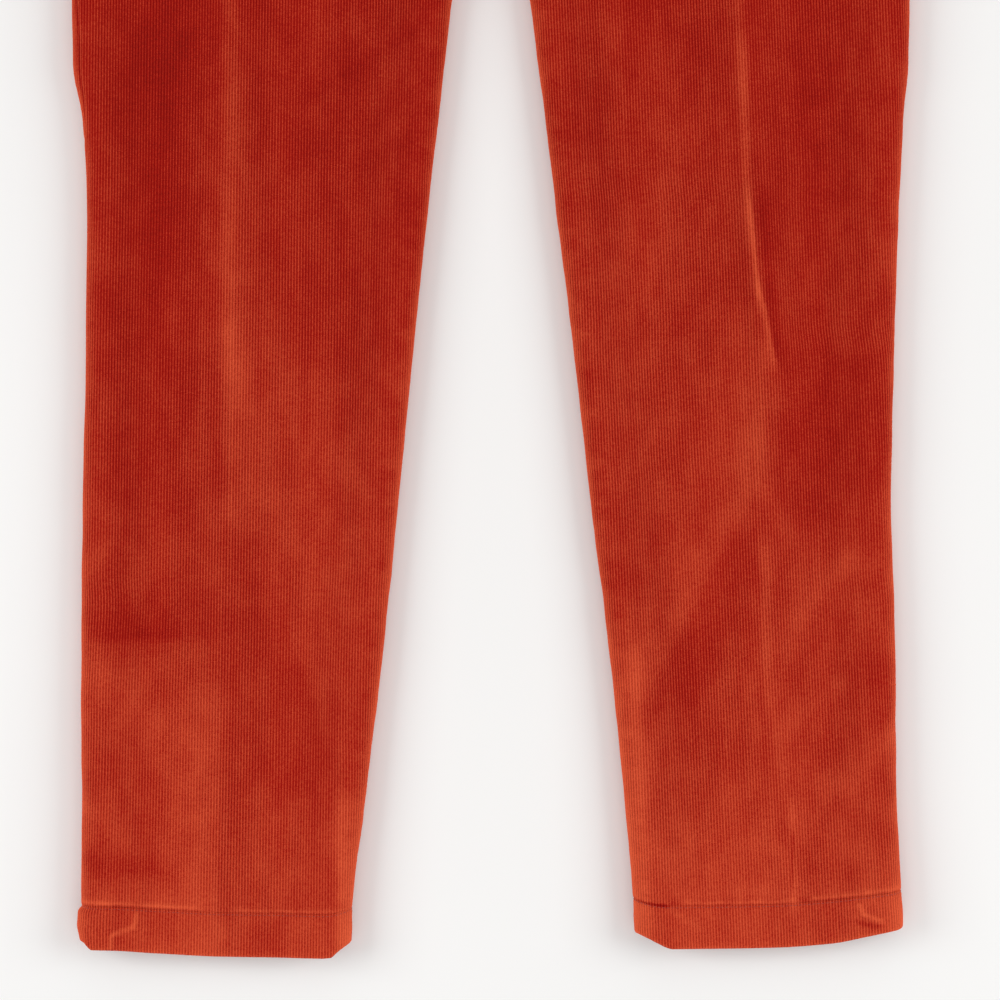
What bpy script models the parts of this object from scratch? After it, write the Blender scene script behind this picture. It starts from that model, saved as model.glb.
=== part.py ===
"""Corduroy trousers laid out flat with the front upwards, as a maker cuts and sews them.

Frame: +Z up from the surface the trousers lie on, +Y from the hems towards the waist, -X the
wearer's right. The origin is on the surface, at the middle of the garment's length and width.
"Height" below means the distance up the garment from the hem fold, along Y. Each leg is a
flattened tube: a front and a back panel that meet at a side seam and an inseam, halfway up.
Everything is in metres.
"""

import math
from typing import NamedTuple

import bmesh
import bpy
import numpy as np

# ---------------------------------------------------------------- driving sizes
CROTCH = 0.740  # height of the fork where the two inseams meet
WAIST_SEAM = 0.957  # height of the seam between panels and waistband, at the sides
WAISTBAND_DEPTH = 0.038
HEM_DEPTH = 0.029
CLOTH = 0.0018  # wall of one layer of corduroy
DOUBLED = 0.0030  # wall of the turned hem and of the waistband
GAP = 0.0003  # clearance between two sewn pieces
PROUD = 0.0006  # how far doubled cloth stands out of a single layer
FRONT_DIP = 0.008  # the front waist is this much lower at the centre than at the sides
BACK_RISE = 0.020  # the back waist is this much higher at the centre than at the sides
SHAPING_START = 0.80  # height where the waist's dip and rise begin
FORK_BLEND = 0.05  # length above the fork over which the centre seams level out
LENGTH = WAIST_SEAM + WAISTBAND_DEPTH + BACK_RISE
HEM_LIFT_FADE = 0.11  # the hem's uneven lift dies out over about this height

POCKET_BOTTOM = 0.800  # height where the slanted pocket mouth meets the side seam
POCKET_WIDTH = 0.050  # from the side seam to the mouth, at the waist
FACING_HEIGHTS = (0.785, 0.800, 0.830, 0.870, 0.915, WAIST_SEAM)
FACING_COLUMNS = 9  # the facing has this many of the front panel's columns
FLY_WIDTH = 0.036
FLY_LAP = 0.005  # the fly reaches this far past the centre
FLY_BOTTOM = 0.800
FLY_WALL = 0.0012
ZIP_HALF_WIDTH = 0.013
ZIP_BOTTOM = 0.810
ZIP_WALL = 0.0010
TAB_LENGTH = 0.036  # the waistband's left end laps this far over its right end
TAB_RAMP = 0.011  # length over which the lap comes down to the left front
LOOP_WIDTH = 0.011
LOOP_WALL = 0.0014
LOOP_SLACK = 0.0016  # room for a belt under a loop
BUTTON_RADIUS = 0.0085
BUTTON_WALL = 0.0028
BUTTON_HOLE_RADIUS = 0.0009
BUTTON_HOLE_CIRCLE = 0.0022
BUTTON_RIM = 0.0015

RIGHT, LEFT = -1, 1
FRONT, BACK = 1, -1
SIDE_NAMES = {RIGHT: "right", LEFT: "left"}


class Station(NamedTuple):
    """The outline at one height, as distances from the centre line, and the lie of the tube.

    The back lies at base. The front stands at top over the side folds, and sags by sag between them.
    """

    height: float
    right_outer: float
    right_inner: float
    left_inner: float
    left_outer: float
    base: float
    top: float
    sag: float


OUTLINE = (
    Station(0.000, 0.2705, 0.0925, 0.0950, 0.2715, 0.0, 0.0250, 0.0060),
    Station(0.030, 0.2706, 0.0910, 0.0932, 0.2711, 0.0, 0.0248, 0.0070),
    Station(0.100, 0.2706, 0.0828, 0.0875, 0.2680, 0.0, 0.0232, 0.0100),
    Station(0.200, 0.2710, 0.0710, 0.0776, 0.2673, 0.0, 0.0214, 0.0120),
    Station(0.300, 0.2700, 0.0607, 0.0653, 0.2647, 0.0, 0.0205, 0.0125),
    Station(0.400, 0.2680, 0.0508, 0.0541, 0.2666, 0.0, 0.0205, 0.0125),
    Station(0.500, 0.2673, 0.0403, 0.0416, 0.2700, 0.0, 0.0208, 0.0125),
    Station(0.550, 0.2700, 0.0346, 0.0356, 0.2726, 0.0, 0.0210, 0.0122),
    Station(0.590, 0.2765, 0.0300, 0.0304, 0.2760, 0.0, 0.0212, 0.0120),
    Station(0.632, 0.2772, 0.0250, 0.0250, 0.2768, 0.0, 0.0216, 0.0118),
    Station(0.690, 0.2790, 0.0145, 0.0145, 0.2790, 0.0, 0.0224, 0.0115),
    Station(0.725, 0.2790, 0.0050, 0.0050, 0.2790, 0.0, 0.0230, 0.0112),
    Station(0.740, 0.2790, 0.0000, 0.0000, 0.2790, 0.0, 0.0232, 0.0110),
    Station(0.800, 0.2765, 0.0000, 0.0000, 0.2765, 0.0, 0.0238, 0.0105),
    Station(0.860, 0.2665, 0.0000, 0.0000, 0.2665, 0.0, 0.0240, 0.0100),
    Station(0.910, 0.2500, 0.0000, 0.0000, 0.2500, 0.0018, 0.0240, 0.0092),
    Station(0.957, 0.2310, 0.0000, 0.0000, 0.2310, 0.0045, 0.0240, 0.0080),
    Station(1.015, 0.2230, 0.0000, 0.0000, 0.2230, 0.0045, 0.0236, 0.0075),
)
SIDE_SLOPE = 0.045  # width over which the front comes down from a side fold
CREASE_HALF_WIDTH = 0.024
CREASE_SHARE = 0.45  # the pressed crease holds the front up by this share of the sag


class HemLift(NamedTuple):
    """How far the hem fold lies above its lowest point, at a share of the way from side seam to inseam."""

    share: float
    right: float
    left: float


HEM_LIFT = (
    HemLift(0.00, 0.0058, 0.0170),
    HemLift(0.15, 0.0052, 0.0130),
    HemLift(0.30, 0.0030, 0.0092),
    HemLift(0.50, 0.0012, 0.0068),
    HemLift(0.70, 0.0003, 0.0060),
    HemLift(0.86, 0.0000, 0.0062),
    HemLift(1.00, 0.0045, 0.0110),
)


class Corner(NamedTuple):
    """How much further the hem's fold is pushed up near the seams, at a share of that way."""

    share: float
    right: float
    left: float


CORNERS = (
    Corner(0.000, 0.0056, 0.0036),
    Corner(0.040, 0.0046, 0.0030),
    Corner(0.080, 0.0000, 0.0029),
    Corner(0.160, 0.0000, 0.0018),
    Corner(0.300, 0.0000, 0.0000),
    Corner(0.830, 0.0000, 0.0000),
    Corner(0.890, 0.0000, 0.0040),
    Corner(0.925, 0.0036, 0.0060),
    Corner(0.965, 0.0054, 0.0062),
    Corner(1.000, 0.0056, 0.0050),
)
CORNER_FADE = 0.020  # a corner's push dies out over about this height
BULGE = 0.0026  # how far the right hem swells out at its side seam
BULGE_REACH = 0.016


class CreasePoint(NamedTuple):
    """Where the pressed crease of each leg runs, as distances from the centre line."""

    height: float
    right: float
    left: float


CREASE = (
    CreasePoint(0.000, 0.1820, 0.1950),
    CreasePoint(0.120, 0.1810, 0.1920),
    CreasePoint(0.260, 0.1770, 0.1850),
    CreasePoint(0.390, 0.1745, 0.1870),
    CreasePoint(0.450, 0.1735, 0.1780),
    CreasePoint(0.540, 0.1735, 0.1700),
    CreasePoint(0.632, 0.1735, 0.1675),
    CreasePoint(0.800, 0.1600, 0.1600),
    CreasePoint(1.015, 0.1400, 0.1400),
)


class Fold(NamedTuple):
    """A soft ridge (rise above 0) or trough on a front panel, between two points of the flat garment."""

    side: int
    from_centre: float
    from_height: float
    to_centre: float
    to_height: float
    half_width: float
    rise: float


FOLDS = (
    Fold(RIGHT, 0.175, 0.400, 0.172, 0.960, 0.016, 0.0022),
    Fold(RIGHT, 0.255, 0.195, 0.205, 0.245, 0.014, -0.0022),
    Fold(RIGHT, 0.250, 0.165, 0.170, 0.190, 0.016, 0.0014),
    Fold(RIGHT, 0.120, 0.120, 0.135, 0.260, 0.018, -0.0016),
    Fold(LEFT, 0.167, 0.960, 0.170, 0.520, 0.015, 0.0026),
    Fold(LEFT, 0.170, 0.520, 0.190, 0.395, 0.014, 0.0034),
    Fold(LEFT, 0.210, 0.560, 0.215, 0.380, 0.018, -0.0018),
    Fold(LEFT, 0.185, 0.330, 0.155, 0.240, 0.018, 0.0018),
    Fold(LEFT, 0.260, 0.270, 0.205, 0.250, 0.013, -0.0016),
)

PANEL_HEIGHTS = (
    *(HEM_DEPTH + GAP, 0.060, 0.100, 0.150, 0.200, 0.260, 0.330, 0.400, 0.470, 0.550, 0.590),
    *(0.632, 0.690, 0.725, 0.740, 0.752, 0.765, 0.785, 0.800, 0.830, 0.870, 0.915, WAIST_SEAM),
)
ARC_STEPS = 3  # faces round each quarter turn at a seam
CREASE_STEPS = {FRONT: 6, BACK: 3}  # faces from a seam's turn to the crease, on each side of it
SAMPLES = 64  # points on the flat stretch of a measured section


# ---------------------------------------------------------------- shape rules
def ease(t):
    """A smooth step from 0 to 1."""
    t = np.clip(t, 0.0, 1.0)
    return t * t * (3 - 2 * t)


def smooth(rows, column, at):
    """The column's value at a place in the table, on a smooth curve that never overshoots its rows."""
    places = np.array([row[0] for row in rows])
    values = np.array([getattr(row, column) for row in rows])
    steps = np.diff(values) / np.diff(places)
    slopes = np.zeros(len(rows))
    same_way = steps[:-1] * steps[1:] > 0
    mean = 2 * steps[:-1] * steps[1:] / np.where(same_way, steps[:-1] + steps[1:], 1.0)
    slopes[1:-1] = np.where(same_way, mean, 0.0)
    slopes[0], slopes[-1] = steps[0], steps[-1]
    i = int(np.clip(np.searchsorted(places, at) - 1, 0, len(rows) - 2))
    width = places[i + 1] - places[i]
    t = (at - places[i]) / width
    return (
        (2 * t**3 - 3 * t**2 + 1) * values[i]
        + (t**3 - 2 * t**2 + t) * width * slopes[i]
        + (3 * t**2 - 2 * t**3) * values[i + 1]
        + (t**3 - t**2) * width * slopes[i + 1]
    )


def crease_at(side, height):
    return smooth(CREASE, SIDE_NAMES[side], height)


def fold_height(side, out, height):
    """How far the front panel stands above its even lie, at distances out from the centre line."""
    total = np.zeros_like(out)
    for fold in FOLDS:
        if fold.side != side:
            continue
        start = np.array([fold.from_centre, fold.from_height])
        along = np.array([fold.to_centre, fold.to_height]) - start
        length = np.hypot(*along)
        dx, dy = out - start[0], height - start[1]
        t = (dx * along[0] + dy * along[1]) / length**2
        across = (dx * along[1] - dy * along[0]) / length
        ends = ease(t / 0.2) * ease((1 - t) / 0.2)
        total += fold.rise * np.exp(-((across / fold.half_width) ** 2)) * ends
    return total


class Section:
    """The outer surface of one panel at one height, from the side seam to its inner edge.

    Places along it are measured on the cloth from the side seam. "out" is the distance from the
    centre line, so a section is the same for both legs until its side is applied.
    """

    def __init__(self, side, face, height, proud=0.0):
        name = SIDE_NAMES[side]
        outer = smooth(OUTLINE, name + "_outer", height) + proud
        inner = smooth(OUTLINE, name + "_inner", height) - proud * (height < CROTCH)
        base = smooth(OUTLINE, "base", height) - proud * (height > CROTCH)
        top = smooth(OUTLINE, "top", height) + proud
        radius = (top - base - GAP) / 2
        middle = (top + base + face * GAP) / 2
        levelled = ease((height - CROTCH) / FORK_BLEND)
        turn = math.pi / 2 * (1 - levelled) + 1e-3
        reach = radius * (1 - levelled) / (1 - math.cos(turn))
        inner = max(inner, GAP / 2)

        a = np.linspace(0, math.pi / 2, 9)
        b = np.linspace(0, turn, 9)
        flat_from = outer - radius
        flat_to = inner + reach * math.sin(turn)
        flat = np.linspace(flat_from, flat_to, SAMPLES)[1:-1]
        level = middle + face * radius
        self.out = np.concatenate(
            [flat_from + radius * np.cos(a), flat, flat_to - reach * np.sin(b)]
        )
        self.z = np.concatenate(
            [
                middle + face * radius * np.sin(a),
                np.full(len(flat), level),
                level - face * reach * (1 - np.cos(b)),
            ]
        )
        normal_out = np.concatenate([np.cos(a), np.zeros(len(flat)), -np.sin(b)])
        normal_z = face * np.concatenate([np.sin(a), np.ones(len(flat)), np.cos(b)])
        self.normal = np.stack([normal_out, normal_z], axis=1)
        if face == FRONT:
            from_outer = ease((flat_from - self.out) / SIDE_SLOPE)
            from_inner = ease((self.out - flat_to) / SIDE_SLOPE)
            window = from_outer * (from_inner + (1 - from_inner) * levelled)
            crease = crease_at(side, height)
            ridge = CREASE_SHARE * np.exp(-(((self.out - crease) / CREASE_HALF_WIDTH) ** 2))
            self.z = self.z - window * smooth(OUTLINE, "sag", height) * (1 - ridge)
            self.z = self.z + from_outer * from_inner * fold_height(side, self.out, height)
        steps = np.hypot(np.diff(self.out), np.diff(self.z))
        self.place = np.concatenate([[0.0], np.cumsum(steps)])
        self.length = self.place[-1]
        self.arc = radius * math.pi / 2
        self.inner_arc = reach * turn
        self.side, self.face, self.height = side, face, height

    def place_of(self, out):
        """The place of the point this far out, on the level stretch."""
        return float(np.interp(-out, -self.out, self.place))

    def y(self, place):
        """Where a place lies along the garment: the hems are uneven, and the waist is shaped."""
        share = min(max(place / self.length, 0.0), 1.0)
        lift = smooth(HEM_LIFT, SIDE_NAMES[self.side], share)
        fade = math.exp(-((self.height / HEM_LIFT_FADE) ** 2))
        corner = smooth(CORNERS, SIDE_NAMES[self.side], share)
        corner *= math.exp(-((self.height / CORNER_FADE) ** 2))
        shaping = BACK_RISE if self.face == BACK else -FRONT_DIP
        rise = ease((self.height - SHAPING_START) / (WAIST_SEAM - SHAPING_START))
        along = self.height + lift * fade + corner
        return along + shaping * rise * float(ease(share)) - LENGTH / 2

    def point(self, place, inset=0.0, lift=0.0):
        """The point at a place, moved inwards by inset along the surface's normal and up by lift."""
        out = np.interp(place, self.place, self.out)
        z = np.interp(place, self.place, self.z)
        normal = [np.interp(place, self.place, self.normal[:, k]) for k in (0, 1)]
        size = math.hypot(*normal)
        out -= inset * normal[0] / size
        z -= inset * normal[1] / size
        return (self.side * out, self.y(place), z + lift)


def panel_places(section):
    """Places of a panel's columns: close round the seams, and one on the crease."""
    crease = section.place_of(crease_at(section.side, section.height))
    arc, far = section.arc, section.length - max(section.inner_arc, 0.012)
    steps = CREASE_STEPS[section.face]
    return [
        *np.linspace(0, arc, ARC_STEPS + 1)[:-1],
        *np.linspace(arc, crease, steps + 1)[:-1],
        *np.linspace(crease, far, steps + 1)[:-1],
        *np.linspace(far, section.length, ARC_STEPS + 1),
    ]


# ---------------------------------------------------------------- building
def material(name, color, roughness):
    made = bpy.data.materials.new(name)
    made.use_nodes = True
    shader = made.node_tree.nodes["Principled BSDF"]
    shader.inputs["Base Color"].default_value = (*color, 1.0)
    shader.inputs["Roughness"].default_value = roughness
    shader.inputs["Metallic"].default_value = 0.0
    return made


def add(name, bm, finish, smooth_faces=True):
    bmesh.ops.recalc_face_normals(bm, faces=bm.faces)
    mesh = bpy.data.meshes.new(name)
    bm.to_mesh(mesh)
    bm.free()
    if smooth_faces:
        mesh.shade_smooth()
        mesh.set_sharp_from_angle(angle=math.radians(40))
    mesh.materials.append(finish)
    made = bpy.data.objects.new(name, mesh)
    bpy.context.scene.collection.objects.link(made)
    return made


def wall(name, outside, inside, finish, ring=False):
    """A closed wall between two grids of points. A ring's rows close on themselves."""
    bm = bmesh.new()
    grids = [[[bm.verts.new(p) for p in row] for row in grid] for grid in (outside, inside)]
    rows, columns = len(outside), len(outside[0])
    around = columns if ring else columns - 1

    def quad(a, b, c, d):
        bm.faces.new((a, b, c, d))

    for grid in grids:
        for i in range(rows - 1):
            for j in range(around):
                k = (j + 1) % columns
                quad(grid[i][j], grid[i][k], grid[i + 1][k], grid[i + 1][j])
    out, back = grids
    for j in range(around):
        k = (j + 1) % columns
        quad(out[0][j], back[0][j], back[0][k], out[0][k])
        quad(out[-1][j], out[-1][k], back[-1][k], back[-1][j])
    if not ring:
        for i in range(rows - 1):
            quad(out[i][0], out[i + 1][0], back[i + 1][0], back[i][0])
            quad(out[i][-1], back[i][-1], back[i + 1][-1], out[i + 1][-1])
    return add(name, bm, finish)


def back(side, finish):
    """A back: one cut piece from hem to waist."""
    return wall("back_" + SIDE_NAMES[side], *layers(side, BACK, PANEL_HEIGHTS), finish)


def front(side, finish):
    """A front: one cut piece from hem to waist, cut off along the slant of the pocket's mouth."""
    made = wall("front_" + SIDE_NAMES[side], *layers(side, FRONT, PANEL_HEIGHTS), finish)
    cut = made.modifiers.new("pocket_mouth", "BOOLEAN")
    cut.operation = "DIFFERENCE"
    cut.solver = "EXACT"
    cut.object = pocket_cutter(side, finish)
    return made


def layers(side, face, heights, columns=None, depth=0.0):
    """The outer and inner grids of a single layer of cloth, starting this deep under the surface."""
    outside, inside = [], []
    for height in heights:
        section = Section(side, face, height)
        places = panel_places(section)[:columns]
        outside.append([section.point(p, inset=depth) for p in places])
        inside.append([section.point(p, inset=depth + CLOTH) for p in places])
    return outside, inside


def pocket_cutter(side, finish):
    """What is cut off a front: everything outside a slanted line from the side seam to the waist."""
    low = np.array([smooth(OUTLINE, "left_outer", POCKET_BOTTOM), POCKET_BOTTOM])
    high = np.array([smooth(OUTLINE, "left_outer", WAIST_SEAM) - POCKET_WIDTH, WAIST_SEAM])
    start = low + (low - high) * 0.10
    end = high + (high - low) * 0.15
    beyond = low[0] + 0.05
    plan = (start, end, (beyond, end[1]), (beyond, start[1]))
    corners = [(side * out, height - LENGTH / 2) for out, height in plan]
    bm = bmesh.new()
    floor = [bm.verts.new((x, y, -0.01)) for x, y in corners]
    roof = [bm.verts.new((x, y, 0.05)) for x, y in corners]
    bm.faces.new(floor)
    bm.faces.new(roof)
    for j in range(len(plan)):
        k = (j + 1) % len(plan)
        bm.faces.new((floor[j], floor[k], roof[k], roof[j]))
    cutter = add("pocket_cutter_" + SIDE_NAMES[side], bm, finish)
    cutter.hide_render = True
    cutter.display_type = "WIRE"
    return cutter


def pocket_facing(side, finish):
    """The cloth that shows in a pocket's mouth, one layer under the front panel."""
    grids = layers(side, FRONT, FACING_HEIGHTS, FACING_COLUMNS, CLOTH + GAP)
    return wall("pocket_facing_" + SIDE_NAMES[side], *grids, finish)


def swollen(section, place, inset):
    """A point of the hem, which swells out at the right side seam."""
    x, y, z = section.point(place, inset=inset)
    if section.side == LEFT:
        return (x, y, z)
    near_top = float(ease((HEM_DEPTH - section.height) / 0.006))
    near_fold = 0.35 + 0.65 * float(ease(section.height / 0.012))
    swell = BULGE * near_top * near_fold * math.exp(-((place / BULGE_REACH) ** 2))
    return (x + section.side * swell, y, z)


def hem(side, finish):
    """The turned-up hem: a ring of doubled cloth round the leg's end."""
    outside, inside = [], []
    fold = 0.25 * DOUBLED
    for height in (0.0, 0.0012, 0.007, 0.015, 0.023, HEM_DEPTH):
        inset = fold if height == 0.0 else 0.0
        ring_out, ring_in = [], []
        for face in (FRONT, BACK):
            section = Section(side, face, height, PROUD)
            places = panel_places(section)[:: 1 if face == FRONT else -1]
            ring_out += [swollen(section, p, inset) for p in places]
            ring_in += [swollen(section, p, DOUBLED - inset) for p in places]
        outside.append(ring_out)
        inside.append(ring_in)
    return wall("hem_" + SIDE_NAMES[side], outside, inside, finish, ring=True)


def front_point(x, height, rise=0.0, proud=0.0):
    """A point over the front at any x near its middle, raised by rise."""
    side = LEFT if x > 0 else RIGHT
    section = Section(side, FRONT, height, proud)
    place = section.place_of(max(abs(x), GAP / 2))
    point = section.point(place)
    return (x, point[1], point[2] + rise)


def patch(name, rows, low, high, finish):
    """A wall over the front: rows of (height, xs), lying between two rises above the panels."""
    outside = [[front_point(x, height, high) for x in xs] for height, xs in rows]
    inside = [[front_point(x, height, low) for x in xs] for height, xs in rows]
    return wall(name, outside, inside, finish)


def fly(finish):
    """The fly's lap, with its lower end curving back to the centre seam."""
    rows = []
    for height in (FLY_BOTTOM, 0.803, 0.808, 0.816, 0.830, 0.870, 0.915, WAIST_SEAM):
        rounded = min((height - FLY_BOTTOM) / 0.034, 1.0)
        far = 0.006 + (FLY_WIDTH - 0.006) * math.sqrt(1 - (1 - rounded) ** 2)
        xs = [-FLY_LAP, -FLY_LAP / 2, 0.0, *np.linspace(0.0, far, 5)[1:]]
        rows.append((height, xs))
    return patch("fly", rows, GAP, GAP + FLY_WALL, finish)


def zip_tape(finish):
    """The closed zip: one strip inside the fronts, behind the fly."""
    below = CLOTH + GAP
    xs = (-ZIP_HALF_WIDTH, -0.004, 0.0, 0.004, ZIP_HALF_WIDTH)
    rows = [(h, xs) for h in (ZIP_BOTTOM, 0.830, 0.870, 0.915, WAIST_SEAM - 0.002)]
    return patch("zip", rows, -below - ZIP_WALL, -below, finish)


def waistband(side, finish):
    """Half the waistband, from its front end round the side to the centre back."""
    outside, inside = [], []
    bottom, top = WAIST_SEAM + GAP, WAIST_SEAM + WAISTBAND_DEPTH
    for height in (bottom, (bottom + top) / 2, top):
        fore = Section(side, FRONT, height, PROUD)
        rear = Section(side, BACK, height, PROUD)
        row_out, row_in = [], []
        if side == LEFT:
            for x in np.linspace(-TAB_LENGTH, 0.0, 5)[:-1]:
                tab = front_point(x, height, DOUBLED + GAP, PROUD)
                row_out.append(tab)
                row_in.append((tab[0], tab[1], tab[2] - DOUBLED))
        for place in reversed(panel_places(fore)):
            out = max(float(np.interp(place, fore.place, fore.out)), 0.0)
            lift = (DOUBLED + GAP) * float(ease(1 - out / TAB_RAMP)) if side == LEFT else 0.0
            row_out.append(fore.point(place, lift=lift))
            row_in.append(fore.point(place, inset=DOUBLED, lift=lift))
        for place in panel_places(rear):
            row_out.append(rear.point(place))
            row_in.append(rear.point(place, inset=DOUBLED))
        outside.append(row_out)
        inside.append(row_in)
    return wall("waistband_" + SIDE_NAMES[side], outside, inside, finish)


def belt_loop(name, face, x, finish):
    """A strip over the waistband, tacked at both ends, with room for a belt under it."""
    rows = (
        *((-0.006, 0.0), (-0.001, 0.0), (0.004, LOOP_SLACK), (0.019, LOOP_SLACK)),
        *((0.032, LOOP_SLACK), (0.0365, 0.0)),
    )
    outside, inside = [], []
    for above_seam, slack in rows:
        height = WAIST_SEAM + max(above_seam, GAP)
        near, far = GAP + slack, GAP + slack + LOOP_WALL
        row_near, row_far = [], []
        for across in (-LOOP_WIDTH / 2, 0.0, LOOP_WIDTH / 2):
            out = max(abs(x + across), GAP / 2)
            section = Section(LEFT if x + across > 0 else RIGHT, face, height, PROUD)
            _, y, z = section.point(section.place_of(out))
            y += min(above_seam - GAP, 0.0)
            row_near.append((x + across, y, z + face * near))
            row_far.append((x + across, y, z + face * far))
        inside.append(row_near)
        outside.append(row_far)
    return wall(name, outside, inside, finish)


def button(finish):
    """A four-hole button on the waistband's tab."""
    height = WAIST_SEAM + WAISTBAND_DEPTH / 2
    x = -TAB_LENGTH / 2
    surface = front_point(x, height, DOUBLED + GAP, PROUD)
    bottom = surface[2] + GAP
    profile = (
        (0.0, 0.0),
        (BUTTON_RADIUS - 0.0006, 0.0),
        (BUTTON_RADIUS, 0.0008),
        (BUTTON_RADIUS, BUTTON_WALL - 0.0005),
        (BUTTON_RADIUS - 0.0006, BUTTON_WALL),
        (BUTTON_RADIUS - BUTTON_RIM, BUTTON_WALL),
        (BUTTON_RADIUS - BUTTON_RIM - 0.0008, BUTTON_WALL - 0.0008),
        (0.0, BUTTON_WALL - 0.0008),
    )
    bm = bmesh.new()
    points = [bm.verts.new((r, 0.0, z)) for r, z in profile]
    edges = [bm.edges.new(pair) for pair in zip(points, points[1:])]
    bmesh.ops.spin(
        bm,
        geom=points + edges,
        cent=(0, 0, 0),
        axis=(0, 0, 1),
        angle=math.tau,
        steps=18,
        use_merge=True,
    )
    bmesh.ops.remove_doubles(bm, verts=bm.verts, dist=1e-5)
    disc = add("button", bm, finish)
    disc.location = (surface[0], surface[1], bottom)
    for k in range(4):
        angle = math.pi / 4 + k * math.pi / 2
        at = (
            surface[0] + BUTTON_HOLE_CIRCLE * math.cos(angle),
            surface[1] + BUTTON_HOLE_CIRCLE * math.sin(angle),
            bottom + BUTTON_WALL / 2,
        )
        cut = disc.modifiers.new(f"hole_{k}", "BOOLEAN")
        cut.operation = "DIFFERENCE"
        cut.object = drill(f"button_drill_{k}", at, BUTTON_HOLE_RADIUS, 3 * BUTTON_WALL)
    return disc


def drill(name, at, radius, depth):
    """A cylinder that only cuts."""
    bm = bmesh.new()
    bmesh.ops.create_cone(
        bm, cap_ends=True, segments=12, radius1=radius, radius2=radius, depth=depth
    )
    cutter = add(name, bm, bpy.data.materials["button"])
    cutter.location = at
    cutter.hide_render = True
    cutter.display_type = "WIRE"
    return cutter


def main():
    for old in list(bpy.data.objects):
        bpy.data.objects.remove(old)
    corduroy = material("corduroy", (0.41, 0.028, 0.014), 0.9)
    horn = material("button", (0.085, 0.030, 0.016), 0.35)
    tape = material("zip_tape", (0.23, 0.020, 0.012), 0.8)
    for side in (RIGHT, LEFT):
        front(side, corduroy)
        back(side, corduroy)
        pocket_facing(side, corduroy)
        hem(side, corduroy)
        waistband(side, corduroy)
    fly(corduroy)
    zip_tape(tape)
    belt_loop("belt_loop_front_right", FRONT, -0.105, corduroy)
    belt_loop("belt_loop_front_left", FRONT, 0.105, corduroy)
    belt_loop("belt_loop_back_right", BACK, -0.125, corduroy)
    belt_loop("belt_loop_back_left", BACK, 0.125, corduroy)
    belt_loop("belt_loop_back_centre", BACK, 0.0, corduroy)
    button(horn)


main()
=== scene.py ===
"""Corduroy trousers laid flat with the front upwards: the cloth, its cords, stitching and button.

Every sheet of cloth is a thin closed shell that follows the solid of the same name. Its cords are
real ribs and grooves. Places on the cloth are given in metres: "height" is the distance up the
garment from the hem fold, "out" the distance from the centre line, and "place" the distance
along the cloth from the side seam. -X is the wearer's right, +Y runs from hems to waist.
"""

import logging
import math
from dataclasses import dataclass
from enum import Enum
from typing import NamedTuple, Sequence

import bmesh
import bpy
import numpy as np
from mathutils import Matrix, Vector


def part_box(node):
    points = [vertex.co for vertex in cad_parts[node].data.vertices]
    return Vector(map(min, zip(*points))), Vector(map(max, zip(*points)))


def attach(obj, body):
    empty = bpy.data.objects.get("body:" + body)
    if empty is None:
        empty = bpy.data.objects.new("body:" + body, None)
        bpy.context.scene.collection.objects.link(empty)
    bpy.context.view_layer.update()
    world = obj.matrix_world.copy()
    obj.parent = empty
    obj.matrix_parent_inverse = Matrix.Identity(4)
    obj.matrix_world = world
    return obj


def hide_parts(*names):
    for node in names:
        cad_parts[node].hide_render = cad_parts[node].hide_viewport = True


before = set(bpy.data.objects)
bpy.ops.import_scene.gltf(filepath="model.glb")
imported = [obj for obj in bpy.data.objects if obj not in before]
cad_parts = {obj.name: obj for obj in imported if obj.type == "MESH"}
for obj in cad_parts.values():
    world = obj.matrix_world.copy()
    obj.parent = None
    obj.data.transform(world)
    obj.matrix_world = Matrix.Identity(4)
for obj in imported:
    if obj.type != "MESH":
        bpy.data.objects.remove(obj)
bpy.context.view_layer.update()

LOG = logging.getLogger("trousers")
Array = np.ndarray

# ---------------------------------------------------------------- the cut and the lie
CROTCH = 0.740
WAIST_SEAM = 0.957
WAISTBAND_DEPTH = 0.038
HEM_DEPTH = 0.029
CLOTH = 0.0018
DOUBLED = 0.0030
GAP = 0.0003
PROUD = 0.0006
FRONT_DIP = 0.008
BACK_RISE = 0.020
SHAPING_START = 0.80
FORK_BLEND = 0.05
LENGTH = WAIST_SEAM + WAISTBAND_DEPTH + BACK_RISE
HEM_LIFT_FADE = 0.11
SIDE_SLOPE = 0.045
CREASE_HALF_WIDTH = 0.024
CREASE_SHARE = 0.45
POCKET_BOTTOM = 0.800
POCKET_WIDTH = 0.050
FACING_BOTTOM = 0.786
FACING_UNDERLAP = 0.022
FLY_BOTTOM = 0.800
FLY_WIDTH = 0.036
FLY_LAP = 0.005
FLY_WALL = 0.0012
TAB_LENGTH = 0.036
TAB_RAMP = 0.011
LOOP_WIDTH = 0.011
LOOP_WALL = 0.0014
LOOP_SLACK = 0.0016
FLY_ROUND = 0.034
INNER_SLACK = 0.0005
CREASE_RISE = 0.00045
CREASE_WIDTH = 0.0017
DIMPLE_PITCH = 0.0112
BEND_SHARE = 0.8
PAINTED_SHEEN = 0.60
THREAD_RISE = 0.00005
BAND_STEP = 0.003
ROW_INSET = 0.002


class Side(Enum):
    """The wearer's right or left leg, by the sign of X."""

    RIGHT = -1
    LEFT = 1

    @property
    def word(self) -> str:
        """The side as a lower-case word, as in the names of pieces."""
        return self.name.lower()


class Face(Enum):
    """The front or the back of the garment, by the sign of Z."""

    FRONT = 1
    BACK = -1


class Station(NamedTuple):
    """The outline at one height, and the lie of the tube: back at base, front at top less sag."""

    height: float
    right_outer: float
    right_inner: float
    left_inner: float
    left_outer: float
    base: float
    top: float
    sag: float


class Legs(NamedTuple):
    """What a table says of each leg at one height, or at one share of the way to the inseam."""

    at: float
    right: float
    left: float


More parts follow.
